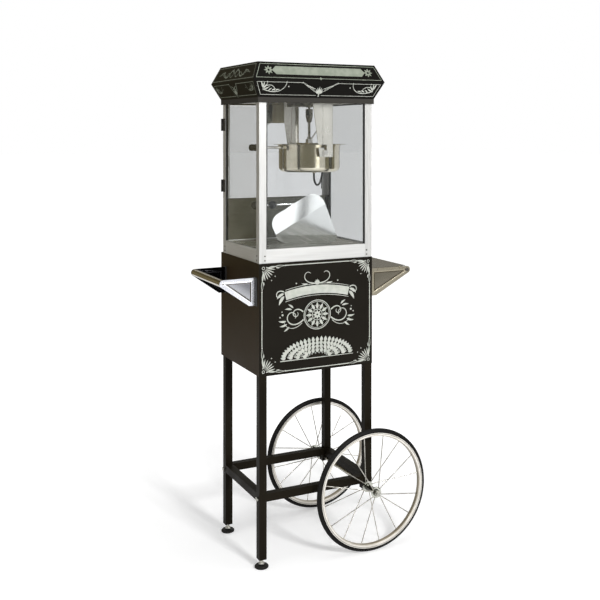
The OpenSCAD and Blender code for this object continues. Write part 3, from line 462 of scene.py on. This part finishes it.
def star(at, inner, angles, length, half, steps=16):
    """Leaves that point away from one place and start at the distance inner from it."""
    roots = [(at[0] + inner * cos(a), at[1] + inner * sin(a)) for a in angles]
    return [petal(root, a, length, half, steps=steps) for root, a in zip(roots, angles)]


def fan(at, angles, near, reach, half, bend):
    """Leaves that point away from one place, each from near to reach off it and fullest towards its tip.
    They bend more the further they are from the middle one."""
    leaves = []
    for i, a in enumerate(angles):
        tip = (at[0] + reach * cos(a), at[1] + reach * sin(a))
        leaves.append(petal(tip, a + pi, reach - near, half, bend=bend * (i - (len(angles) - 1) / 2)))
    return leaves


def wave(a, b, rise, turns, half, steps=40):
    """A line from a to b that swings to either side by rise * sin(2*pi*turns*t) * (1 - t/2)."""
    t = np.linspace(0, 1, steps)
    run = np.array(b, float) - a
    square = np.array([-run[1], run[0]]) / hypot(*run)
    swing = rise * np.sin(2 * pi * turns * t) * (1 - t / 2)
    return np.array(a, float) + t[:, None] * run + swing[:, None] * square, half * (1 - 0.45 * t)


def disc(at, radius, steps=18):
    """A dot: a level line whose half width is radius * the square root of 1 - t*t."""
    t = np.linspace(-0.999, 0.999, steps)
    return np.stack([at[0] + radius * t, np.full(steps, at[1])], -1), radius * np.sqrt(1 - t * t)


def ring(at, radius, half, steps=64):
    a = np.linspace(0, 2 * pi, steps)
    return np.stack([at[0] + radius * np.cos(a), at[1] + radius * np.sin(a)], -1), np.full(steps, half)


def flipped(strokes, x=1, y=1):
    return [(line * [x, y], half) for line, half in strokes]


def moved(strokes, dx, dy):
    return [(line + [dx, dy], half) for line, half in strokes]


def on_sheet(name, middle, across, up, strokes, finish):
    """Turns strokes in millimetres into films on a flat sheet. Each film is a centre line plus and minus
    its half width square to the line, from just off the sheet to the film's height. In rounds of 40,
    each stroke stands a hair higher than the one before it, so that tops that cross don't lie in one
    plane."""
    just_off, film, hair, per_round = 0.00003, 0.00012, 1e-6, 40
    across, up = (np.array(d, float) / np.linalg.norm(d) for d in (across, up))
    out = np.cross(across, up)
    points, faces, count = [], [], 0
    for number, (line, half) in enumerate(strokes):
        n = len(line)
        run = np.gradient(line, axis=0)
        run /= np.linalg.norm(run, axis=1)[:, None] + 1e-12
        side = np.stack([-run[:, 1], run[:, 0]], -1) * half[:, None]
        top = film + (number % per_round) * hair
        flat = np.stack([line + side, line + side, line - side, line - side], 1) / 1000
        high = np.array([just_off, top, top, just_off])[None, :, None]
        film_skin = np.array(middle) + flat[..., :1] * across + flat[..., 1:] * up + high * out
        points.append(film_skin.reshape(-1, 3))
        i, j = np.meshgrid(np.arange(n - 1), np.arange(4), indexing="ij")
        k = (j + 1) % 4
        walls = np.stack([i * 4 + k, (i + 1) * 4 + k, (i + 1) * 4 + j, i * 4 + j], -1).reshape(-1, 4)
        last = (n - 1) * 4
        faces += (count + walls).tolist()
        faces += (count + np.array([[1, 2, 3, 0], [last + 3, last + 2, last + 1, last]])).tolist()
        count += 4 * n
    piece = plain_mesh(name, np.vstack(points), faces)
    piece.data.materials.append(finish)
    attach(piece, "cart")


# ink_pale is the pale ink. The other is a grey-green ink, which also serves as painted shade for the pale
# print on the hood's sides.
ink_pale, ink_grey_green_and_shade = (coat_of(name, dark, pale, rough=(0.42, 0.55), scale=60.0, peel=0.00001)
                      for name, dark, pale in (("ink_pale", (0.37, 0.39, 0.345), (0.49, 0.50, 0.455)),
                                               ("ink_grey_green_and_shade", (0.16, 0.185, 0.14), (0.235, 0.26, 0.205))))


def corner_leaves():
    """Eight leaves fanned out in a corner at 0, 0 that opens to +x and +y, and tendrils along its sides."""
    leaves = fan((2, 2), np.radians(45 + 12.5 * (np.arange(8) - 3.5)), 14, 46, 1.65, bend=0.10)
    leaves += [ring((7, 7), 4.2, 0.9, steps=24), disc((34.5, 47.0), 1.7), disc((47.0, 34.5), 1.7)]
    side = [wave((16, 4), (80, 2.6), 4.2, 1.0, 1.25), wave((24, 7), (78, 2.6), -3.2, 1.0, 0.75),
            petal((50, 7), radians(20), 14, 1.5, bend=-0.6), disc((82, 2.2), 2.2)]
    return leaves + side + [(line[:, ::-1], half) for line, half in side]


def border(width, height, inset, half, corner):
    """Four straight lines inset from a sheet's edges that stop a corner's length short of each end."""
    w, h = width / 2 - inset, height / 2 - inset
    made = []
    for sign in (-1, 1):
        made.append(straight((-w + corner, sign * h), (w - corner, sign * h), half))
        made.append(straight((sign * w, -h + corner), (sign * w, h - corner), half))
    return made


# the rosette: three rings, twelve leaves and dots between the inner two, and a flower in the middle
twelfths, eighths = np.arange(12) * pi / 6, np.arange(8) * pi / 4
rosette = [ring((0, 0), 47, 1.3), ring((0, 0), 42.5, 0.7), ring((0, 0), 17.5, 1.1)]
rosette += star((0, 0), 19.5, twelfths, 21, 4.6)
rosette += [disc((30.5 * cos(a), 30.5 * sin(a)), 1.5, 8) for a in twelfths + pi / 12]
rosette += star((0, 0), 2.5, eighths, 13, 3.0)

# scrolls to the right of the rosette: long stems that roll up and down, with leaves
scroll = [
    curl((49, -12), radians(-40), 0.010, 0.085, 126, 2.2, 0.9, steps=60),
    curl((54, -22), radians(-44), 0.014, 0.040, 74, 1.2, 0.6, steps=40),
    curl((50, 13), radians(42), -0.012, -0.150, 78, 2.0, 0.8, steps=50),
    petal((110, -12), radians(-16), 27, 3.2, bend=0.7),
    petal((107, -22), radians(-30), 27, 3.2, bend=0.6),
    petal((99, -31), radians(-50), 24, 2.9, bend=0.5),
    petal((90, 23), radians(22), 25, 3.0, bend=-0.6),
    petal((85, 28), radians(50), 22, 2.7, bend=-0.5),
    disc((122, 8), 3.2), disc((131, 1), 2.2), disc((124, 18), 1.8),
]

# a half sunflower below: four rows of leaves that lean out over low ovals, with a ring in each gap, on
# a level line
bank, bank_foot = [], -124
for row, count in enumerate((25, 21, 15, 9)):
    a = np.linspace(0.06, pi - 0.06, count)
    wide, tall = 112 - 25 * row, 46 - 11.5 * row
    for t in a:
        root = (wide * cos(t), tall * sin(t) + bank_foot)
        lean = np.arctan2(sin(t) * wide, cos(t) * tall * 1.6)
        bank.append(petal(root, lean, 17.5, 5.6, bend=0.1 * cos(t), steps=12))
    for t in (a[1:] + a[:-1]) / 2:
        bank.append(ring((wide * cos(t) * 0.93, tall * sin(t) * 0.93 + bank_foot), 2.0, 0.6, steps=12))
bank.append(wave((-130, -129), (130, -129), 0.0, 1.0, 1.5))

# a blank, slightly arched ribbon above, edged by two lines, with leaves at its ends and a crest on top
ribbon_line, ribbon_half = curl((-112, 70), radians(14.5), -0.00222, -0.00222, 228, 13.5, steps=40)
ribbon = [(ribbon_line, ribbon_half)]
ribbon += [(ribbon_line + [0, s], np.full(40, 0.8)) for s in (18.5, -18.5)]
tails = [petal((116, 70), radians(-40), 34, 5.0, bend=-0.6),
         petal((117, 78), radians(-8), 30, 4.2, bend=-0.9),
         curl((118, 84), radians(30), -0.03, -0.16, 58, 1.9, 0.8, steps=40)]
crest = [petal((0, 99), radians(90 + 24 * k), 19 - 2 * abs(k), 3.0, bend=-0.25 * k) for k in range(-2, 3)]
crest_side = [curl((8, 104), radians(8), -0.004, 0.105, 78, 1.8, 0.8, steps=44), disc((74, 108), 2.2),
              petal((34, 104), radians(-16), 22, 2.6, bend=0.8)]

low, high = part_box("cabinet_front")
cabinet_left, cabinet_right = low.x, high.x
sheet_w, sheet_h, print_inset = (high.x - low.x) * 1000, (high.z - low.z) * 1000, 7.5
cabinet_print = border(sheet_w, sheet_h, 9.5, 1.35, 82)
for sx in (-1, 1):
    for sy in (-1, 1):
        corner = flipped(corner_leaves(), -sx, -sy)
        cabinet_print += moved(corner, sx * (sheet_w / 2 - print_inset), sy * (sheet_h / 2 - print_inset))
cabinet_print += moved(rosette + scroll + flipped(scroll, x=-1), 0, 2) + moved(bank, 0, -8)
cabinet_print += ribbon + tails + flipped(tails, x=-1) + crest + crest_side + flipped(crest_side, x=-1)
sheet_middle = ((low.x + high.x) / 2, low.y, (low.z + high.z) / 2)
on_sheet("cabinet_ornament", sheet_middle, (1, 0, 0), (0, 0, 1), cabinet_print, ink_pale)


# ---- push handle ----
# Two plated brackets with a triangle pressed into each stand out from the strips on the cabinet's left
# side, and a round bar is riveted between their ends.


def pressed_plate(name, node, root, apart, shade, dark, pale):
    """Polished plates with a triangle pressed into each. How far a point is inside the triangle is the
    least of its distances from three lines: one by the upright edge at root, one below the top, and one
    along the slant. A dark line where that is 0 is painted shade along the pressed crease, a pale line just
    outside it is a painted highlight on the bead, and the field within is painted darker away from the
    slant. The faces that two plates turn to each other, less than apart from the middle, are painted near
    black as painted shade."""
    low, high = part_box(node)
    side = 1 if high.x > root else -1
    reach, drop = max(root - low.x, high.x - root), high.z - low.z
    fold_in, fold_down, lip_out = 0.018, 0.0155, 0.0036
    slant_in, slant_up = 0.023, 0.0185  # a place on the slant
    run, fall = reach - 0.053, drop - 0.038  # and its direction
    lean = hypot(run, fall)
    made, v = start(name)
    place = v.place()
    u, w = (place.axis(0) - root) * side, place.axis(2) - low.z
    depth = v.math("ABSOLUTE", place.axis(1))
    slant = (w - slant_up) * (run / lean) - (u - slant_in) * (fall / lean)
    inside = v.math("MINIMUM", v.math("MINIMUM", u - fold_in, drop - fold_down - w), slant)
    # painted shade along the crease, and a painted highlight on the bead just outside it
    painted_crease_shade = inside.near(0.0, 0.0006, 0.0022)
    painted_bead_highlight = inside.near(-lip_out, 0.0006, 0.0024)
    cloud = v.noise(22.0, 3.0, place)
    # painted shade and reflection over the triangle's field, darker away from the slant
    painted_field_shade = inside.rise(0.0008, 0.004) * (slant.rise(0.004, 0.036) * shade + shade * 0.2)
    colour = v.mix(cloud, dark, pale).tint([c * 0.28 for c in dark], painted_field_shade)
    colour = colour.tint([min(1, c * 1.25) for c in pale], painted_bead_highlight).tint((0.07, 0.055, 0.035), painted_crease_shade * 0.9)
    # painted shade: the faces that the two plates turn to each other go near black
    colour = colour.tint((0.018, 0.018, 0.020), 1.0 - depth.rise(apart, apart + 0.0018))
    return end(made, v.node(
        "BsdfPrincipled", Base_Color=colour, Metallic=1.0, Roughness=cloud * 0.12 + 0.14 + painted_crease_shade * 0.2,
        Normal=v.node("Bump", Strength=0.6, Distance=0.0012, Height=painted_bead_highlight - painted_crease_shade)))


dress(pressed_plate("handle_plate", "handle_brackets", cabinet_left, apart=0.1407, shade=0.62,
                    dark=(0.50, 0.51, 0.55), pale=(0.66, 0.67, 0.71)), "handle_brackets")
# painted reflection: dark and pale streaks along the bar stand in for the reflections on a polished tube
dress(coat_of("bar_painted_streaks", (0.12, 0.100, 0.070), (0.60, 0.56, 0.48), rough=(0.14, 0.22), metal=1.0,
              scale=24.0, stretch=(5, 0.05, 5), peel=0.00001), "handle_bar")


# ---- side shelf ----
# A stainless sheet between two pressed brackets like the handle's, on the cabinet's right side, with a
# dark bar along its outer edge. The sheet and its brackets are coloured darker and more olive than the
# handle's steel: a painted reflection of the olive surroundings on this side.

# painted reflection: the sheet's steel is coloured dark olive
dress(coat_of("shelf_steel", (0.150, 0.140, 0.115), (0.185, 0.173, 0.144), rough=(0.22, 0.30), metal=1.0,
              scale=12.0, stretch=(5, 0.4, 5), peel=0.00001), "shelf_top")
# painted reflection: these brackets, the same part as the handle's, are coloured darker and olive
dress(pressed_plate("shelf_plate", "shelf_brackets", cabinet_right, apart=0.1507, shade=0.16,
                    dark=(0.215, 0.195, 0.148), pale=(0.300, 0.275, 0.215)), "shelf_brackets")
dress(coat_of("edge_black", (0.02, 0.018, 0.015), (0.045, 0.04, 0.034), rough=(0.3, 0.45), peel=0.00002),
      "shelf_edge_bar")


# ---- case ----
# Anodised aluminium posts and rails screwed together at their corners, with panes of tempered glass
# held in them by thin black strips, and two clear doors behind over a steel deck and a kernel drawer.

dress(coat_of("post_aluminium", (0.46, 0.46, 0.45), (0.53, 0.53, 0.52), rough=(0.30, 0.42), metal=0.5,
              scale=30.0, stretch=(8, 8, 0.25), peel=0.00001, peel_scale=400.0), "case_posts")
dress(coat_of("rail_aluminium", (0.52, 0.52, 0.51), (0.59, 0.59, 0.58), rough=(0.30, 0.42), metal=0.5,
              scale=30.0, stretch=(0.25, 0.25, 8), peel=0.00001, peel_scale=400.0), "case_rails")
dress(coat_of("screw_zinc", (0.09, 0.09, 0.08), (0.20, 0.195, 0.175), rough=(0.28, 0.42), metal=1.0,
              scale=80.0), "case_screws")
dress(strip_black, "glass_gaskets")


def clear_sheet(name, tint, smear):
    """Clear sheet: what is behind it, a little dimmed, under a mirror that grows at a glancing view."""
    made, v = start(name)
    wipe = v.noise(7.0, 3.0, v.place(), stretch=(1.5, 1.5, 0.35))
    edge_on = v.node("LayerWeight", out=1, Blend=0.5) ** 5.0
    mirror = edge_on * 0.92 + wipe.rise(0.45, 0.75) * smear + 0.035
    through_it = v.node("BsdfTransparent", Color=(*tint, 1))
    gloss = v.node("BsdfPrincipled", Base_Color=(0.55, 0.57, 0.56, 1), Metallic=1.0,
                   Roughness=wipe * 0.03 + 0.01)
    return end(made, v.node("MixShader", i0=mirror, i1=through_it, i2=gloss))


dress(clear_sheet("pane_glass", (0.885, 0.890, 0.892), 0.012), "glass_panes")
dress(clear_sheet("door_acrylic", (0.90, 0.905, 0.91), 0.02), "rear_door_left", "rear_door_right")
dress(coat_of("deck_steel", (0.58, 0.57, 0.52), (0.68, 0.67, 0.62), rough=(0.20, 0.29), metal=0.72,
              scale=12.0, stretch=(0.3, 5, 5), peel=0.00001), "deck")
# painted reflection: the rear panel and drawer are the deck's stainless, coloured much darker for the dark
# inside of the case they mirror
dress(coat_of("back_steel", (0.122, 0.120, 0.098), (0.150, 0.148, 0.124), rough=(0.20, 0.27), metal=1.0,
              scale=14.0, stretch=(0.4, 0.4, 6), peel=0.00001), "rear_panel", "kernel_drawer")
dress(coat_of("hinge_black", (0.010, 0.010, 0.009), (0.03, 0.028, 0.024), rough=(0.35, 0.5)),
      "rear_hinges", "left_door_fittings", "right_door_fittings")


# ---- hood ----
# A folded steel hood in gloss black, its lower skirt a little greyer, with printed borders on its slopes.
# Under it lies the ceiling of the case.

skirt_top = 1.488

hood_black, v = start("hood_black")
place = v.place()
skirt = 1.0 - place.axis(2).rise(skirt_top - 0.0005, skirt_top + 0.0005)
drift = v.noise(6.0, 4.0, place)
peel = v.noise(600.0, place=place)
gloss_black = v.mix(drift, (0.0030, 0.0030, 0.0026), (0.0066, 0.0060, 0.0046))
dress(end(hood_black, v.node(
    "BsdfPrincipled", Specular_IOR_Level=0.045, Roughness=drift * 0.1 + 0.26 + skirt * 0.14,
    Base_Color=gloss_black.tint((0.037, 0.035, 0.031), skirt),
    Normal=v.node("Bump", Strength=0.4, Distance=0.00003, Height=peel))), "hood_shell")

# in millimetres: where the case's sides are, and how high each level edge of the hood's slopes is and how
# far it stands out from the case
(left, front, _), (right, back, _) = ([c * 1000 for c in corner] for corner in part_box("case_posts"))
skirt_edge, fold_edge, roof_edge = (1488.5, 6.0), (1543.0, 32.5), (1600.0, 7.0)
slope_edges = {"upper": (fold_edge, roof_edge), "lower": (skirt_edge, fold_edge)}


def slope(side, which):
    """Where a slope of the hood lies: its middle, its two directions, its height, and its widths."""
    (z1, out1), (z2, out2) = slope_edges[which]
    climb, lean, out = z2 - z1, out2 - out1, (out1 + out2) / 2
    if side == "front":
        x, y, length = (left + right) / 2, front - out, right - left
        across, up = (1, 0, 0), (0, -lean, climb)
    elif side == "left":
        x, y, length = left - out, (front + back) / 2, back - front
        across, up = (0, -1, 0), (-lean, 0, climb)
    else:
        x, y, length = right + out, (front + back) / 2, back - front
        across, up = (0, 1, 0), (lean, 0, climb)
    middle = (x / 1000, y / 1000, (z1 + z2) / 2000)
    return middle, across, up, hypot(climb, lean), length + 2 * out1, length + 2 * out2


def frame_lines(rise, low_w, high_w, inset, half, gap=0.0, foot_gap=0.0):
    """A border inside a slope, parallel to its slanting ends, open in the middle of its top and foot. Its
    ends stand in a little more than its long lines do."""
    h, end_inset = rise / 2 - inset, inset * 1.15
    lean = (high_w - low_w) / 2 / rise
    a = low_w / 2 + lean * inset - end_inset
    b = high_w / 2 - lean * inset - end_inset
    made = [straight((s * a, -h), (s * b, h), half) for s in (-1, 1)]
    for s in (-1, 1):
        made.append(straight((s * gap, h), (s * b, h), half))
        made.append(straight((s * foot_gap, -h), (s * a, -h), half))
    return made


def end_leaves(x, y, size):
    """A trailing spray that starts at x, y: a long stem that rolls up, a short one that rolls down, and
    leaves. It is drawn 60 mm long and scaled to its size by k."""
    k = size / 60.0
    long_at, short_at = (x + 5 * k, y - 4 * k), (x + 4 * k, y + 1 * k)
    made = [curl(long_at, radians(-20), 0.002 / k, 0.052 / k, 78 * k, 1.15 * k, 0.6 * k, steps=44),
            curl(short_at, radians(30), -0.008 / k, -0.105 / k, 44 * k, 1.05 * k, 0.55 * k, steps=36)]
    for n in range(4):
        at = (x + (3 + n) * k, y + (1 - 2 * n) * k)
        made.append(petal(at, radians(96 - 27 * n), (17 + n) * k, 1.75 * k, bend=0.5))
    for n in range(3):
        at = (x + (20 + 9 * n) * k, y - (9 - 0.8 * n) * k)
        made.append(petal(at, radians(62 - 14 * n), 13 * k, 1.5 * k, bend=-0.7))
    return made + [disc((x + 14 * k, y + 15 * k), 1.8 * k, 12), disc((x + 72 * k, y + 4 * k), 1.6 * k, 12)]


def blank_panel(end_x, y, half):
    """A flat band from -end_x to end_x with rounded ends: its half width falls off over the last 7 mm."""
    x = np.linspace(-end_x, end_x, 30)
    ends = np.minimum(1, np.sqrt(np.clip((end_x + 0.2 - np.abs(x)) / 7, 0.02, 1)))
    return np.stack([x, np.full(30, y)], -1), half * ends


side_waves = [wave((3, -3), (134, -3), 15, 1.5, 2.1), wave((10, -6), (128, -4), -9, 2.0, 1.2),
              petal((14, 6), radians(72), 15, 2.4, bend=-0.8),
              petal((52, -10), radians(-24), 17, 2.4, bend=0.9),
              petal((92, 4), radians(40), 15, 2.1, bend=-0.8), disc((140, -3), 2.4)]

for side in ("front", "left", "right"):
    at_front = side == "front"
    middle, across, up, rise, low_w, high_w = slope(side, "upper")
    print_up = frame_lines(rise, low_w, high_w, 7.0, 0.85)
    if at_front:
        print_up += [blank_panel(163, 2.0, 14.5)]
        for x in (-177, 177):
            print_up += star((x, 2), 3, eighths, 13, 2.9, steps=10)
        print_up += star((0, -24.5), 0, np.arange(4) * pi / 2, 6, 2.0, steps=8)
    else:
        print_up += flipped(side_waves, x=-1) + side_waves
    on_sheet(f"hood_print_upper_{side}", middle, across, up, print_up, ink_grey_green_and_shade)

    middle, across, up, rise, low_w, high_w = slope(side, "lower")
    gap, spray_size = (62, 78) if at_front else (34, 52)
    inset = 8.5
    top = rise / 2 - inset
    print_low = frame_lines(rise, low_w, high_w, inset, 0.7, gap=gap, foot_gap=9)
    drape = [straight((gap, top), (15, -9), 0.75), straight((gap - 5, top - 0.5), (17, -4), 0.5),
             disc((gap, top), 2.2, 12)]
    drape += [petal((gap - 14 - 8 * n, top - 8.5 - 3.2 * n), radians(-165), 12, 1.3) for n in range(4)]
    drape += end_leaves(4 - low_w / 2, 2, spray_size)
    print_low += flipped(drape, x=-1) + drape
    for k in range(-3, 4):
        print_low.append(petal((0, -15), radians(90 + 27 * k), 25 - 2.5 * abs(k), 2.1, bend=-0.3 * k))
    print_low += [disc((0, -18.5), 2.6, 12), petal((0, -21), radians(-90), 7, 1.6)]
    # painted shade: on the sides, the lower print, pale on the front, is drawn in the grey-green ink
    on_sheet(f"hood_print_lower_{side}", middle, across, up, print_low, ink_pale if at_front else ink_grey_green_and_shade)

dress(coat_of("ceiling_steel", (0.30, 0.285, 0.23), (0.45, 0.43, 0.37), rough=(0.2, 0.35), metal=1.0,
              scale=8.0), "ceiling_plate")


# ---- kettle hangers, motor and lamp ----
# Two folded strips of sheet hang from the ceiling and carry the kettle's pins. The stirring motor sits
# above the ceiling, and a lamp in a painted shield lights the corn.

dress(coat_of("hanger_steel", (0.70, 0.675, 0.61), (0.78, 0.76, 0.70), rough=(0.22, 0.28), metal=1.0,
              scale=10.0, stretch=(2, 2, 0.5), peel=0.000003), "hangers")
dress(coat_of("motor_steel", (0.14, 0.13, 0.10), (0.34, 0.32, 0.26), rough=(0.25, 0.4), metal=1.0,
              scale=60.0), "stir_motor", "motor_coupling", "stirrer")
dress(coat_of("shield_olive", (0.19, 0.165, 0.10), (0.27, 0.24, 0.155), rough=(0.3, 0.45), metal=0.6,
              scale=20.0, stretch=(4, 4, 0.4)), "lamp_holder")
dress(clear_sheet("bulb_glass", (0.90, 0.90, 0.87), 0.6), "lamp_bulb")
dress(coat_of("gland_black", (0.006, 0.006, 0.006), (0.016, 0.015, 0.014), rough=(0.45, 0.6), specular=0.2),
      "cord_glands", "kettle_grip")


# ---- kettle ----
# A spun and polished stainless bowl in an outer shell, with a bar across its rim that carries the two
# lids, the stirrer's bearing and the lever.

kettle_steel, v = start("kettle_steel")
place = v.place()
turned = v.noise(9.0, 4.0, place, stretch=(1.2, 1.2, 60))
stain = v.noise(26.0, 4.0, place).rise(0.42, 0.70)
dress(end(kettle_steel, v.node(
    "BsdfPrincipled", Metallic=1.0, Roughness=turned * 0.10 + 0.07 + stain * 0.06,
    Base_Color=v.mix(stain * 0.55 + turned * 0.3, (0.77, 0.72, 0.59), (0.56, 0.50, 0.37)),
    Normal=v.node("Bump", Strength=0.12, Distance=0.00004, Height=turned))),
    "kettle_shell", "kettle_bowl", "lid_left", "lid_right")
dress(coat_of("bar_steel", (0.48, 0.46, 0.40), (0.78, 0.77, 0.74), rough=(0.14, 0.26), metal=1.0,
              scale=40.0), "kettle_crossbar", "kettle_handle")


# ---- switches ----
# Three moulded rocker switches, for the motor, the kettle and the lamp, in a stainless plate on the
# hood's rear slope. The kettle's is red.

dress(coat_of("plate_steel", (0.45, 0.44, 0.40), (0.62, 0.61, 0.57), rough=(0.2, 0.3), metal=1.0,
              scale=30.0, stretch=(0.3, 6, 6)), "switch_plate")
dress(coat_of("rocker_black", (0.008, 0.008, 0.008), (0.016, 0.016, 0.015), rough=(0.2, 0.3), scale=40.0),
      "rocker_motor", "rocker_lamp")
dress(coat_of("rocker_red", (0.38, 0.018, 0.012), (0.50, 0.03, 0.02), rough=(0.18, 0.28), scale=40.0),
      "rocker_kettle")


# ---- scoop ----
# Folded from one aluminium sheet with a satin roll finish, and a steel stem with two black ball grips
# riveted to its wall. It lies loose on the deck.

# the stem runs from its root to the far ball, and the near ball sits a little over half way along
stem_root = np.array([0.168, 0.0985, 1.1395]) - origin
far_ball = np.array([0.036, 0.127, 1.1365]) - origin
near_ball = stem_root + (far_ball - stem_root) * 0.57
grip_radius = 0.0143

scoop_finish, v = start("scoop_aluminium")
place = v.place()
rolled = v.noise(14.0, 4.0, place)
fine = v.noise(500.0, 2.0, place)
far, near = (v.node("VectorMath", {"operation": "DISTANCE"}, out=1, Vector=place, i1=tuple(middle))
             for middle in (far_ball, near_ball))
ball = 1.0 - v.math("MINIMUM", far, near).rise(grip_radius - 0.0001, grip_radius + 0.0001)
satin = v.mix(rolled, (0.86, 0.88, 0.88), (0.94, 0.95, 0.95))
dress(end(scoop_finish, v.node(
    "BsdfPrincipled", Metallic=0.95 - ball * 0.95, Roughness=rolled * 0.05 + 0.20 + ball * 0.15,
    Base_Color=satin.tint((0.010, 0.010, 0.010), ball),
    Normal=v.node("Bump", Strength=0.2, Distance=0.00004, Height=fine))), "scoop")
